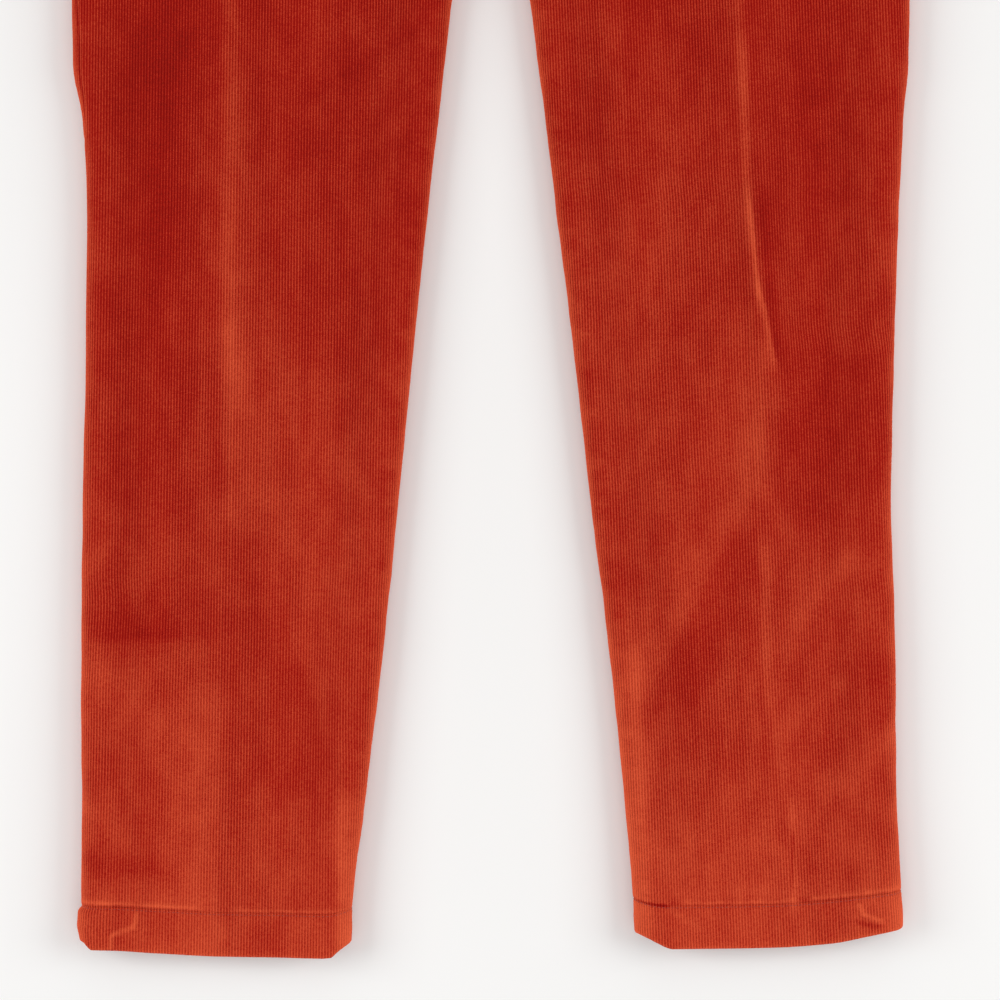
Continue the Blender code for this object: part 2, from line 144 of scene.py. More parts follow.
OUTLINE = (
    Station(0.000, 0.2705, 0.0925, 0.0950, 0.2715, 0.0, 0.0250, 0.0060),
    Station(0.030, 0.2706, 0.0910, 0.0932, 0.2711, 0.0, 0.0248, 0.0070),
    Station(0.100, 0.2706, 0.0828, 0.0875, 0.2680, 0.0, 0.0232, 0.0100),
    Station(0.200, 0.2710, 0.0710, 0.0776, 0.2673, 0.0, 0.0214, 0.0120),
    Station(0.300, 0.2700, 0.0607, 0.0653, 0.2647, 0.0, 0.0205, 0.0125),
    Station(0.400, 0.2680, 0.0508, 0.0541, 0.2666, 0.0, 0.0205, 0.0125),
    Station(0.500, 0.2673, 0.0403, 0.0416, 0.2700, 0.0, 0.0208, 0.0125),
    Station(0.550, 0.2700, 0.0346, 0.0356, 0.2726, 0.0, 0.0210, 0.0122),
    Station(0.590, 0.2765, 0.0300, 0.0304, 0.2760, 0.0, 0.0212, 0.0120),
    Station(0.632, 0.2772, 0.0250, 0.0250, 0.2768, 0.0, 0.0216, 0.0118),
    Station(0.690, 0.2790, 0.0145, 0.0145, 0.2790, 0.0, 0.0224, 0.0115),
    Station(0.725, 0.2790, 0.0050, 0.0050, 0.2790, 0.0, 0.0230, 0.0112),
    Station(0.740, 0.2790, 0.0000, 0.0000, 0.2790, 0.0, 0.0232, 0.0110),
    Station(0.800, 0.2765, 0.0000, 0.0000, 0.2765, 0.0, 0.0238, 0.0105),
    Station(0.860, 0.2665, 0.0000, 0.0000, 0.2665, 0.0, 0.0240, 0.0100),
    Station(0.910, 0.2500, 0.0000, 0.0000, 0.2500, 0.0018, 0.0240, 0.0092),
    Station(0.957, 0.2310, 0.0000, 0.0000, 0.2310, 0.0045, 0.0240, 0.0080),
    Station(1.015, 0.2230, 0.0000, 0.0000, 0.2230, 0.0045, 0.0236, 0.0075),
)

# How far the hem fold lies above its lowest point, by share of the way to the inseam.
HEM_LIFT = (
    Legs(0.00, 0.0058, 0.0170),
    Legs(0.15, 0.0052, 0.0130),
    Legs(0.30, 0.0030, 0.0092),
    Legs(0.50, 0.0012, 0.0068),
    Legs(0.70, 0.0003, 0.0060),
    Legs(0.86, 0.0000, 0.0062),
    Legs(1.00, 0.0045, 0.0110),
)

# Where the pressed crease runs, as distances from the centre line.
CREASE = (
    Legs(0.000, 0.1820, 0.1950),
    Legs(0.120, 0.1810, 0.1920),
    Legs(0.260, 0.1770, 0.1850),
    Legs(0.390, 0.1745, 0.1870),
    Legs(0.450, 0.1735, 0.1780),
    Legs(0.540, 0.1735, 0.1700),
    Legs(0.632, 0.1735, 0.1675),
    Legs(0.800, 0.1600, 0.1600),
    Legs(1.015, 0.1400, 0.1400),
)

# The straight line that the cords follow, as distances from the centre line.
GRAIN = (
    Legs(0.000, 0.1820, 0.1950),
    Legs(1.015, 0.1684, 0.1508),
)

# How much further the hem's fold is pushed up, by share of the way to the inseam.
CORNERS = (
    Legs(0.000, 0.0056, 0.0036),
    Legs(0.040, 0.0046, 0.0030),
    Legs(0.080, 0.0000, 0.0029),
    Legs(0.160, 0.0000, 0.0018),
    Legs(0.300, 0.0000, 0.0000),
    Legs(0.830, 0.0000, 0.0000),
    Legs(0.890, 0.0000, 0.0040),
    Legs(0.925, 0.0036, 0.0060),
    Legs(0.965, 0.0054, 0.0062),
    Legs(1.000, 0.0056, 0.0050),
)
CORNER_FADE = 0.020
BULGE = 0.0026
BULGE_REACH = 0.016


class SeamRoll(NamedTuple):
    """Where the right side seam has rolled to, as distances along the front from its edge."""

    height: float
    place: float


SEAM_ROLL = (
    SeamRoll(0.530, 0.0000),
    SeamRoll(0.558, 0.0068),
    SeamRoll(0.575, 0.0096),
    SeamRoll(0.600, 0.0108),
    SeamRoll(0.640, 0.0088),
    SeamRoll(0.720, 0.0070),
    SeamRoll(0.790, 0.0000),
)


class Stroke(NamedTuple):
    """A soft mark on a panel, between two points of the cloth: a fold, or a patch of lighter or
    darker pile with painted highlight and painted shade.

    Its near side is towards the centre line, or downwards if it runs more across than along.
    The amount is a rise in metres for a fold, and a change of painted brightness for the pile.
    """

    side: Side
    from_out: float
    from_height: float
    to_out: float
    to_height: float
    near_width: float
    far_width: float
    amount: float


def strokes(side: Side, *rows: tuple[float, ...]) -> tuple[Stroke, ...]:
    """Strokes of one leg, from the rest of their values."""
    return tuple(Stroke(side, *row) for row in rows)


FOLDS = (
    *strokes(
        Side.RIGHT,
        (0.175, 0.400, 0.172, 0.960, 0.016, 0.016, 0.0022),
        (0.255, 0.195, 0.205, 0.245, 0.014, 0.014, -0.0022),
        (0.250, 0.165, 0.170, 0.190, 0.016, 0.016, 0.0014),
        (0.120, 0.120, 0.135, 0.260, 0.018, 0.018, -0.0016),
    ),
    *strokes(
        Side.LEFT,
        (0.167, 0.960, 0.170, 0.520, 0.015, 0.015, 0.0026),
        (0.170, 0.520, 0.190, 0.395, 0.014, 0.014, 0.0034),
        (0.210, 0.560, 0.215, 0.380, 0.018, 0.018, -0.0018),
        (0.185, 0.330, 0.155, 0.240, 0.018, 0.018, 0.0018),
        (0.260, 0.270, 0.205, 0.250, 0.013, 0.013, -0.0016),
    ),
)

WRINKLES = (
    *strokes(
        Side.LEFT,
        (0.1630, 0.640, 0.1690, 0.500, 0.0060, 0.0040, 0.0010),
        (0.1660, 0.580, 0.1718, 0.450, 0.0070, 0.0030, 0.0016),
        (0.1690, 0.510, 0.1778, 0.425, 0.0080, 0.0024, 0.0026),
        (0.1750, 0.448, 0.1900, 0.382, 0.0090, 0.0026, 0.0026),
        (0.1860, 0.400, 0.1850, 0.290, 0.0140, 0.0045, 0.0012),
        (0.1700, 0.305, 0.1000, 0.180, 0.0160, 0.0060, 0.0014),
        (0.2000, 0.226, 0.2400, 0.265, 0.0070, 0.0070, 0.0009),
        (0.1940, 0.150, 0.2300, 0.180, 0.0060, 0.0060, 0.0008),
        (0.2300, 0.105, 0.2660, 0.148, 0.0070, 0.0070, 0.0010),
        (0.2000, 0.056, 0.2450, 0.048, 0.0070, 0.0070, -0.0009),
        (0.1150, 0.0308, 0.2050, 0.0308, 0.0011, 0.0018, 0.0005),
        (0.1900, 0.0310, 0.2690, 0.0312, 0.0012, 0.0020, 0.0010),
        (0.2412, 0.0262, 0.2456, 0.0140, 0.0018, 0.0018, 0.0011),
        (0.2440, 0.0170, 0.2600, 0.0068, 0.0018, 0.0018, 0.0010),
        (0.1130, 0.0270, 0.1420, 0.0100, 0.0025, 0.0025, 0.0006),
    ),
    *strokes(
        Side.RIGHT,
        (0.1740, 0.700, 0.1730, 0.360, 0.0070, 0.0060, 0.0009),
        (0.1640, 0.275, 0.1000, 0.112, 0.0050, 0.0160, -0.0012),
        (0.2660, 0.207, 0.1900, 0.206, 0.0050, 0.0120, -0.0012),
        (0.2650, 0.198, 0.2000, 0.140, 0.0080, 0.0050, 0.0012),
        (0.2680, 0.060, 0.2150, 0.054, 0.0060, 0.0060, -0.0010),
        (0.2680, 0.099, 0.2320, 0.068, 0.0050, 0.0050, 0.0010),
        (0.1280, 0.562, 0.0380, 0.618, 0.0040, 0.0040, -0.0008),
        (0.1000, 0.515, 0.0520, 0.543, 0.0040, 0.0040, -0.0007),
        (0.2700, 0.0312, 0.1950, 0.0310, 0.0012, 0.0020, 0.0012),
        (0.1700, 0.0308, 0.1000, 0.0308, 0.0011, 0.0016, 0.0005),
        (0.2330, 0.0270, 0.2352, 0.0150, 0.0014, 0.0014, 0.0013),
        (0.2338, 0.0168, 0.2505, 0.0102, 0.0014, 0.0014, 0.0012),
        (0.2493, 0.0120, 0.2503, 0.0005, 0.0014, 0.0014, 0.0010),
    ),
)

BACK_WRINKLES = (
    *strokes(
        Side.RIGHT,
        (0.0300, 0.760, 0.1250, 0.800, 0.0070, 0.0110, -0.0008),
        (0.0450, 0.715, 0.1400, 0.738, 0.0060, 0.0100, -0.0007),
        (0.2500, 0.560, 0.2050, 0.470, 0.0070, 0.0120, -0.0008),
        (0.0900, 0.415, 0.1900, 0.372, 0.0060, 0.0110, -0.0008),
        (0.2600, 0.345, 0.1750, 0.392, 0.0060, 0.0100, -0.0007),
        (0.1100, 0.250, 0.1550, 0.130, 0.0080, 0.0140, -0.0007),
        (0.2600, 0.105, 0.2100, 0.062, 0.0050, 0.0080, -0.0007),
    ),
    *strokes(
        Side.LEFT,
        (0.0280, 0.772, 0.1180, 0.806, 0.0070, 0.0110, -0.0008),
        (0.0420, 0.722, 0.1500, 0.731, 0.0060, 0.0110, -0.0007),
        (0.2480, 0.610, 0.2000, 0.520, 0.0080, 0.0130, -0.0008),
        (0.0880, 0.398, 0.1820, 0.425, 0.0060, 0.0100, -0.0008),
        (0.2550, 0.372, 0.1800, 0.352, 0.0060, 0.0090, -0.0007),
        (0.1050, 0.170, 0.1850, 0.255, 0.0070, 0.0120, -0.0007),
        (0.2620, 0.085, 0.2050, 0.118, 0.0050, 0.0080, -0.0006),
    ),
)

# Tone of the pile on the backs, with painted shade in the hollows of the wrinkles.
BACK_NAP_AND_SHADE = (
    *strokes(
        Side.RIGHT,
        (0.1720, 0.700, 0.1760, 0.060, 0.0040, 0.0060, 0.16),
        (0.0700, 0.800, 0.1300, 0.620, 0.0350, 0.0450, 0.10),
        (0.2250, 0.640, 0.2200, 0.330, 0.0260, 0.0220, -0.13),
        (0.0950, 0.405, 0.2000, 0.360, 0.0080, 0.0220, -0.14),
        (0.1200, 0.300, 0.1400, 0.080, 0.0280, 0.0260, 0.09),
    ),
    *strokes(
        Side.LEFT,
        (0.1660, 0.690, 0.1860, 0.050, 0.0050, 0.0040, 0.16),
        (0.0680, 0.805, 0.1200, 0.640, 0.0380, 0.0400, 0.10),
        (0.2150, 0.600, 0.2280, 0.300, 0.0240, 0.0280, -0.12),
        (0.0900, 0.388, 0.1900, 0.415, 0.0200, 0.0070, -0.13),
        (0.1350, 0.260, 0.1200, 0.070, 0.0260, 0.0300, 0.08),
    ),
)

# Tone of the pile on the fronts, with painted highlights along the ridges of the folds and painted
# shade in their hollows and beside them.
NAP_AND_SHADING = (
    *strokes(
        Side.RIGHT,
        (0.2150, 0.720, 0.2165, 0.420, 0.020, 0.030, -0.12),
        (0.2086, 0.740, 0.2150, 0.560, 0.009, 0.009, -0.03),
        (0.1738, 0.760, 0.1725, 0.330, 0.0095, 0.0065, 0.16),
        (0.1745, 0.440, 0.1680, 0.262, 0.016, 0.006, 0.12),
        (0.2360, 0.470, 0.2360, 0.270, 0.032, 0.030, -0.12),
        (0.1300, 0.410, 0.1120, 0.140, 0.030, 0.030, 0.05),
        (0.1640, 0.300, 0.0980, 0.095, 0.004, 0.026, -0.10),
        (0.2800, 0.2110, 0.1650, 0.2085, 0.0030, 0.026, -0.14),
        (0.2680, 0.2130, 0.1980, 0.2100, 0.0030, 0.008, -0.07),
        (0.2680, 0.201, 0.1950, 0.136, 0.014, 0.005, 0.07),
        (0.1850, 0.205, 0.1840, -0.022, 0.004, 0.030, 0.07),
        (0.1745, 0.260, 0.1765, -0.030, 0.024, 0.003, -0.07),
        (0.1600, 0.135, 0.0980, 0.095, 0.018, 0.018, -0.07),
        (0.2780, 0.060, 0.2120, 0.053, 0.006, 0.009, -0.14),
        (0.2760, 0.104, 0.2300, 0.065, 0.005, 0.005, 0.09),
        (0.1320, 0.560, 0.0350, 0.621, 0.0035, 0.0045, -0.10),
        (0.1040, 0.513, 0.0480, 0.546, 0.0035, 0.0045, -0.07),
        (0.2860, 0.0314, 0.1800, 0.0312, 0.0011, 0.0018, 0.36),
        (0.2740, 0.0350, 0.1700, 0.0370, 0.0030, 0.0045, 0.08),
        (0.1750, 0.0306, 0.0950, 0.0306, 0.0008, 0.0010, 0.18),
        (0.0990, 0.120, 0.0975, -0.020, 0.010, 0.0045, 0.23),
        (0.2152, 0.030, 0.2086, 0.006, 0.006, 0.006, -0.09),
        (0.1840, 0.034, 0.1765, 0.008, 0.005, 0.005, 0.07),
        (0.1511, 0.026, 0.1459, 0.000, 0.009, 0.009, -0.07),
        (0.1180, 0.030, 0.1120, 0.000, 0.010, 0.010, 0.07),
        (0.2330, 0.0275, 0.2352, 0.0145, 0.0016, 0.0016, 0.35),
        (0.2335, 0.0170, 0.2510, 0.0100, 0.0016, 0.0016, 0.35),
        (0.2493, 0.0125, 0.2503, 0.0000, 0.0016, 0.0016, 0.30),
    ),
    *strokes(
        Side.LEFT,
        (0.2412, 0.0262, 0.2456, 0.0140, 0.0015, 0.0015, 0.34),
        (0.2440, 0.0170, 0.2600, 0.0068, 0.0016, 0.0016, 0.32),
        (0.2380, 0.0125, 0.2580, 0.0035, 0.0022, 0.0022, -0.24),
        (0.0860, 0.0290, 0.1200, 0.0288, 0.0012, 0.0012, -0.45),
        (0.1990, 0.082, 0.1978, 0.034, 0.0011, 0.0011, -0.30),
        (0.1590, 0.720, 0.1668, 0.540, 0.0060, 0.0045, 0.11),
        (0.1660, 0.620, 0.1700, 0.460, 0.0048, 0.0032, 0.24),
        (0.1690, 0.512, 0.1778, 0.422, 0.0024, 0.0014, 0.34),
        (0.1752, 0.450, 0.1895, 0.382, 0.0030, 0.0014, 0.30),
        (0.1755, 0.520, 0.1888, 0.378, 0.0018, 0.0080, -0.20),
        (0.2050, 0.680, 0.2250, 0.280, 0.022, 0.040, -0.09),
        (0.1935, 0.412, 0.1915, 0.278, 0.0028, 0.045, -0.08),
        (0.1790, 0.412, 0.1770, 0.287, 0.028, 0.005, 0.13),
        (0.1730, 0.316, 0.0940, 0.160, 0.020, 0.005, 0.12),
        (0.1720, 0.290, 0.0960, 0.155, 0.0060, 0.034, -0.07),
        (0.1180, 0.185, 0.1590, 0.100, 0.022, 0.024, -0.07),
        (0.1804, 0.295, 0.1835, 0.150, 0.0040, 0.0040, 0.12),
        (0.1825, 0.185, 0.1990, 0.078, 0.0045, 0.0045, 0.10),
        (0.1980, 0.105, 0.1997, 0.012, 0.0026, 0.0026, 0.18),
        (0.0950, 0.064, 0.2150, 0.062, 0.030, 0.025, 0.05),
        (0.1960, 0.055, 0.2500, 0.044, 0.008, 0.008, -0.10),
        (0.1940, 0.212, 0.2480, 0.276, 0.007, 0.006, 0.14),
        (0.2450, 0.222, 0.2560, 0.140, 0.012, 0.012, -0.07),
        (0.2000, 0.290, 0.2620, 0.280, 0.010, 0.010, -0.04),
        (0.1880, 0.143, 0.2360, 0.187, 0.007, 0.005, 0.12),
        (0.2260, 0.098, 0.2730, 0.157, 0.008, 0.008, 0.14),
        (0.0930, 0.230, 0.1030, -0.020, 0.012, 0.0055, 0.23),
        (0.1120, 0.030, 0.1430, 0.010, 0.003, 0.003, 0.13),
        (0.2030, 0.031, 0.2320, 0.000, 0.012, 0.012, -0.10),
        (0.2610, 0.040, 0.2700, -0.005, 0.008, 0.008, 0.11),
        (0.2050, 0.0314, 0.2790, 0.0314, 0.0010, 0.0018, 0.26),
        (0.1250, 0.0306, 0.2050, 0.0306, 0.0008, 0.0012, 0.16),
        (0.1100, 0.0360, 0.2000, 0.0370, 0.0040, 0.0060, 0.07),
        (0.1535, 0.1430, 0.1560, 0.1400, 0.0012, 0.0012, 0.60),
    ),
)

# Painted light: how much brighter the cloth is painted at a height, brightest towards the hems.
PAINTED_LIGHT_FALLOFF = (
    Legs(0.000, 0.20, 0.23),
    Legs(0.050, 0.10, 0.13),
    Legs(0.150, 0.05, 0.04),
    Legs(0.300, 0.03, 0.00),
    Legs(0.450, -0.05, -0.02),
    Legs(0.600, -0.13, -0.07),
    Legs(1.015, -0.13, -0.08),
)


def ease(t: Array | float) -> Array:
    """A smooth step from 0 to 1."""
    t = np.clip(t, 0.0, 1.0)
    return t * t * (3 - 2 * t)


def smooth(rows: Sequence[NamedTuple], column: str, at: Array | float) -> Array:
    """Read a table on a smooth curve that never overshoots its rows.

    Args:
        rows: The table, sorted by its first column.
        column: The column to read.
        at: One place or many on the first column.

    Returns:
        The column's value at each place.
    """
    places = np.array([row[0] for row in rows])
    values = np.array([getattr(row, column) for row in rows])
    steps = np.diff(values) / np.diff(places)
    slopes = np.zeros(len(rows))
    same_way = steps[:-1] * steps[1:] > 0
    mean = 2 * steps[:-1] * steps[1:] / np.where(same_way, steps[:-1] + steps[1:], 1.0)
    slopes[1:-1] = np.where(same_way, mean, 0.0)
    slopes[0], slopes[-1] = steps[0], steps[-1]
    i = np.clip(np.searchsorted(places, at) - 1, 0, len(rows) - 2)
    width = places[i + 1] - places[i]
    t = (at - places[i]) / width
    return (
        (2 * t**3 - 3 * t**2 + 1) * values[i]
        + (t**3 - 2 * t**2 + t) * width * slopes[i]
        + (3 * t**2 - 2 * t**3) * values[i + 1]
        + (t**3 - t**2) * width * slopes[i + 1]
    )


def stroke_sum(strokes: Sequence[Stroke], side: Side, out: Array, height: float) -> Array:
    """What strokes add up to at distances out from the centre line, at one height.

    Args:
        strokes: The strokes.
        side: The leg.
        out: Distances out from the centre line.
        height: The height on the cloth.

    Returns:
        The total amount at each distance.
    """
    total = np.zeros_like(out)
    for stroke in strokes:
        run_out, run_up = stroke.to_out - stroke.from_out, stroke.to_height - stroke.from_height
        length = math.hypot(run_out, run_up)
        reach = 3 * max(stroke.near_width, stroke.far_width)
        low, high = sorted((stroke.from_height, stroke.to_height))
        if stroke.side != side or not low - reach < height < high + reach:
            continue
        dx, dy = out - stroke.from_out, height - stroke.from_height
        t = (dx * run_out + dy * run_up) / length**2
        across = (dx * run_up - dy * run_out) / length
        steep = abs(run_up) > abs(run_out)
        turned = run_up > 0 if steep else run_out < 0
        far = across > 0 if turned else across < 0
        width = np.where(far, stroke.far_width, stroke.near_width)
        ends = ease(t / 0.2) * ease((1 - t) / 0.2)
        total = total + stroke.amount * np.exp(-((across / width) ** 2)) * ends
    return total


class Section:
    """The outer surface of one panel at one height, measured along the cloth from its side seam."""

    samples = 96

    def __init__(self, side: Side, face: Face, height: float, proud: float = 0.0) -> None:
        """Work out the section.

        Args:
            side: The leg.
            face: Its front or its back.
            height: The height on the cloth.
            proud: How far the surface stands outside that of a single layer.
        """
        outer = float(smooth(OUTLINE, side.word + "_outer", height)) + proud
        inner = float(smooth(OUTLINE, side.word + "_inner", height)) - proud * (height < CROTCH)
        base = float(smooth(OUTLINE, "base", height)) - proud * (height > CROTCH)
        top = float(smooth(OUTLINE, "top", height)) + proud
        sign = face.value
        radius = (top - base - GAP) / 2
        middle = (top + base + sign * GAP) / 2
        levelled = float(ease((height - CROTCH) / FORK_BLEND))
        turn = math.pi / 2 * (1 - levelled) + 1e-3
        reach = radius * (1 - levelled) / (1 - math.cos(turn))
        inner = max(inner, GAP / 2)
        a = np.linspace(0, math.pi / 2, 13)
        b = np.linspace(0, turn, 13)
        flat_from = outer - radius
        flat_to = inner + reach * math.sin(turn)
        flat = np.linspace(flat_from, flat_to, self.samples)[1:-1]
        level = middle + sign * radius
        self.out = np.concatenate(
            [flat_from + radius * np.cos(a), flat, flat_to - reach * np.sin(b)]
        )
        self.z = np.concatenate(
            [
                middle + sign * radius * np.sin(a),
                np.full(len(flat), level),
                level - sign * reach * (1 - np.cos(b)),
            ]
        )
        normal_out = np.concatenate([np.cos(a), np.zeros(len(flat)), -np.sin(b)])
        normal_z = sign * np.concatenate([np.sin(a), np.ones(len(flat)), np.cos(b)])
        if face is Face.FRONT:
            from_outer = ease((flat_from - self.out) / SIDE_SLOPE)
            from_inner = ease((self.out - flat_to) / SIDE_SLOPE)
            window = from_outer * (from_inner + (1 - from_inner) * levelled)
            crease = float(smooth(CREASE, side.word, height))
            ridge = CREASE_SHARE * np.exp(-(((self.out - crease) / CREASE_HALF_WIDTH) ** 2))
            self.z = self.z - window * float(smooth(OUTLINE, "sag", height)) * (1 - ridge)
            lift = stroke_sum(FOLDS, side, self.out, height)
            self.z = self.z + from_outer * from_inner * lift
        self.normal = np.stack([normal_out, normal_z], axis=1)
        steps = np.hypot(np.diff(self.out), np.diff(self.z))
        self.place = np.concatenate([[0.0], np.cumsum(steps)])
        self.length = float(self.place[-1])
        self.arc = radius * math.pi / 2
        self.bend = self.arc * BEND_SHARE
        self.side, self.face, self.height = side, face, height
        self.grain = self.place_of(float(smooth(GRAIN, side.word, height)))

    def place_of(self, out: float) -> float:
        """The place of the point this far out."""
        return float(np.interp(-out, -self.out, self.place))

    def out_of(self, place: Array | float) -> Array:
        """How far out a place lies."""
        return np.interp(place, self.place, self.out)

    def upright(self, place: Array) -> Array:
        """How far the surface at each place faces straight up or down, from 0 to 1."""
        return np.interp(place, self.place, self.normal[:, 1])

    def painted_sheen(self, place: Array) -> Array:
        """Painted sheen: how much lighter the cloth is painted where it turns on its side."""
        return PAINTED_SHEEN * (1 - np.abs(self.upright(place)))

    def y(self, place: Array) -> Array:
        """Where places lie along the garment: the hems are uneven, and the waist is shaped."""
        share = np.clip(place / self.length, 0.0, 1.0)
        lift = smooth(HEM_LIFT, self.side.word, share)
        fade = math.exp(-((self.height / HEM_LIFT_FADE) ** 2))
        corner = smooth(CORNERS, self.side.word, share)
        corner = corner * math.exp(-((self.height / CORNER_FADE) ** 2))
        shaping = BACK_RISE if self.face is Face.BACK else -FRONT_DIP
        rise = float(ease((self.height - SHAPING_START) / (WAIST_SEAM - SHAPING_START)))
        return self.height + lift * fade + corner + shaping * rise * ease(share) - LENGTH / 2

    def points(self, place: Array, inset: Array | float = 0.0, lift: Array | float = 0.0) -> Array:
        """Points on the section.

        Args:
            place: Places along it.
            inset: How far each point is moved inwards, along the surface's normal.
            lift: How far each point is moved up.

        Returns:
            An array of one point for each place.
        """
        out = np.interp(place, self.place, self.out)
        z = np.interp(place, self.place, self.z)
        n_out = np.interp(place, self.place, self.normal[:, 0])
        n_z = np.interp(place, self.place, self.normal[:, 1])
        size = np.hypot(n_out, n_z)
        out = out - inset * n_out / size
        z = z - inset * n_z / size + lift
        return np.stack([self.side.value * out, self.y(place), z], axis=1)


# ---------------------------------------------------------------- the cords of the cloth
@dataclass(frozen=True)
class Cords:
    """The ribs of the corduroy."""

    pitch: float = 0.00193
    depth: float = 0.00042
    phases: tuple[float, ...] = (0.0, 0.25, 0.5, 0.75)

    def columns(self, low: float, high: float, clear: float = 0.0003) -> Array:
        """Places of the mesh's columns strictly between two places across the cords."""
        first = math.floor(low / self.pitch) - 1
        last = math.ceil(high / self.pitch) + 1
        all_of = np.array([(k + p) * self.pitch for k in range(first, last) for p in self.phases])
        return all_of[(all_of > low + clear) & (all_of < high - clear)]

    def depth_at(self, across: Array) -> Array:
        """How deep the cloth's surface lies under the tops of the ribs."""
        phase = across / self.pitch - np.floor(across / self.pitch)
        return self.depth * np.abs(np.cos(math.pi * phase)) ** 3


CORDS = Cords()


def waves(u: Array, v: float, length: float, seed: int) -> Array:
    """Gentle uneven waves between about -1 and 1, for cloth that never lies quite level."""
    turns = np.random.default_rng(seed).uniform(0, math.tau, (6, 2))
    total = np.zeros_like(u)
    for k, (angle, phase) in enumerate(turns):
        scale = math.tau / (length * (0.7 + 0.25 * k))
        total = total + np.sin(scale * (u * math.cos(angle) + v * math.sin(angle)) + phase)
    return total / 3.5


def nap_at(side: Side, face: Face, out: Array, height: float) -> Array:
    """How much lighter or darker the pile is painted, with the painted highlight and shade of the
    folds and painted light brighter towards the hems.
    """
    if face is Face.BACK:
        return stroke_sum(BACK_NAP_AND_SHADE, side, out, height) - 0.04
    return stroke_sum(NAP_AND_SHADING, side, out, height) + float(smooth(PAINTED_LIGHT_FALLOFF, side.word, height))


# ---------------------------------------------------------------- mesh making
@dataclass
class Row:
    """One row of a sheet's grid. Neighbouring rows are joined by their keys."""

    keys: Array
    points: Array
    uv: Array
    # Each point's painted tone: the pile's own, with painted highlight, shade and sheen.
    nap: Array


def on_cloth(across: Array, height: float) -> Array:
    """The cloth's own coordinates at one height: across the cords, and along them."""
    return np.stack([across, np.full(len(across), height)], axis=1)


def plain_row(points: Array, uv: Array) -> Row:
    """A row of the hidden surface, which is given no tone and counts its keys from 0."""
    size = len(points)
    return Row(np.arange(float(size)), points, uv, np.zeros(size))


class Shell:
    """A closed thin shell, built from rows of its outer and its inner surface."""

    def __init__(self, name: str) -> None:
        """Start an empty shell of this name."""
        self.name = name
        self.points: list[Array] = []
        self.uv: list[Array] = []
        self.nap: list[Array] = []
        self.faces: list[tuple[int, ...]] = []
        self.count = 0

    def _store(self, rows: Sequence[Row], ring: bool) -> list[Array]:
        """Store rows of points and give back their indices."""
        found = []
        for row in rows:
            size = len(row.keys) - ring
            self.points.append(row.points[:size])
            self.uv.append(row.uv[:size])
            self.nap.append(row.nap[:size])
            index = np.arange(self.count, self.count + size)
            found.append(np.append(index, index[0]) if ring else index)
            self.count += size
        return found

    def _join(self, a: Array, b: Array, a_keys: Array, b_keys: Array) -> None:
        """Fill the strip between two lines of points, matching them by their keys."""
        i = j = 0
        while i < len(a) - 1 or j < len(b) - 1:
            next_a = a_keys[i + 1] if i < len(a) - 1 else math.inf
            next_b = b_keys[j + 1] if j < len(b) - 1 else math.inf
            if abs(next_a - next_b) < 1e-7:
                self.faces.append((a[i], a[i + 1], b[j + 1], b[j]))
                i, j = i + 1, j + 1
            elif next_a < next_b:
                self.faces.append((a[i], a[i + 1], b[j]))
                i += 1
            else:
                self.faces.append((a[i], b[j + 1], b[j]))
                j += 1

    def _edge(self, a: Array, b: Array) -> None:
        """Join an edge of the outer surface to the same edge of the inner one."""
        points = np.concatenate(self.points)
        keys = []
        for line in (a, b):
            run = np.linalg.norm(np.diff(points[line], axis=0), axis=1)
            keys.append(np.concatenate([[0.0], np.cumsum(run) / run.sum()]))
        keys[0][-1] = keys[1][-1] = 1.0
        self._join(a, b, *keys)

    def build(
        self, outer: Sequence[Row], inner: Sequence[Row], finish: bpy.types.Material, ring: bool
    ) -> bpy.types.Object:
        """Make the shell's object.

        Args:
            outer: Rows of the side that shows.
            inner: Rows of the hidden side. There may be fewer of them.
            finish: The material.
            ring: Whether each row closes on itself.

        Returns:
            The finished object, at the origin.
        """
        skins = []
        for rows in (outer, inner):
            lines = self._store(rows, ring)
            for k in range(len(rows) - 1):
                self._join(lines[k], lines[k + 1], rows[k].keys, rows[k + 1].keys)
            skins.append(lines)
        top, under = skins
        self._edge(top[0], under[0])
        self._edge(top[-1], under[-1])
        if not ring:
            self._edge(np.array([r[0] for r in top]), np.array([r[0] for r in under]))
            self._edge(np.array([r[-1] for r in top]), np.array([r[-1] for r in under]))
        return self._object(finish)

    def _object(self, finish: bpy.types.Material) -> bpy.types.Object:
        """Turn what was stored into an object with its normals outwards."""
        mesh = bpy.data.meshes.new(self.name)
        mesh.from_pydata(np.concatenate(self.points).tolist(), [], self.faces)
        uv = np.concatenate(self.uv)
        nap = np.concatenate(self.nap)
        turned = bmesh.new()
        turned.from_mesh(mesh)
        bmesh.ops.recalc_face_normals(turned, faces=turned.faces)
        turned.to_mesh(mesh)
        turned.free()
        corner = np.empty(len(mesh.loops), np.int32)
        mesh.loops.foreach_get("vertex_index", corner)
        layer = mesh.uv_layers.new(name="cloth")
        layer.uv.foreach_set("vector", uv[corner].astype(np.float32).ravel())
        # The painted tone goes on the mesh: pile tone with painted highlight, shade and sheen.
        shade = mesh.attributes.new("nap", "FLOAT", "POINT")
        shade.data.foreach_set("value", nap.astype(np.float32))
        mesh.shade_smooth()
        mesh.materials.append(finish)
        made = bpy.data.objects.new(self.name, mesh)
        bpy.context.scene.collection.objects.link(made)
        return made


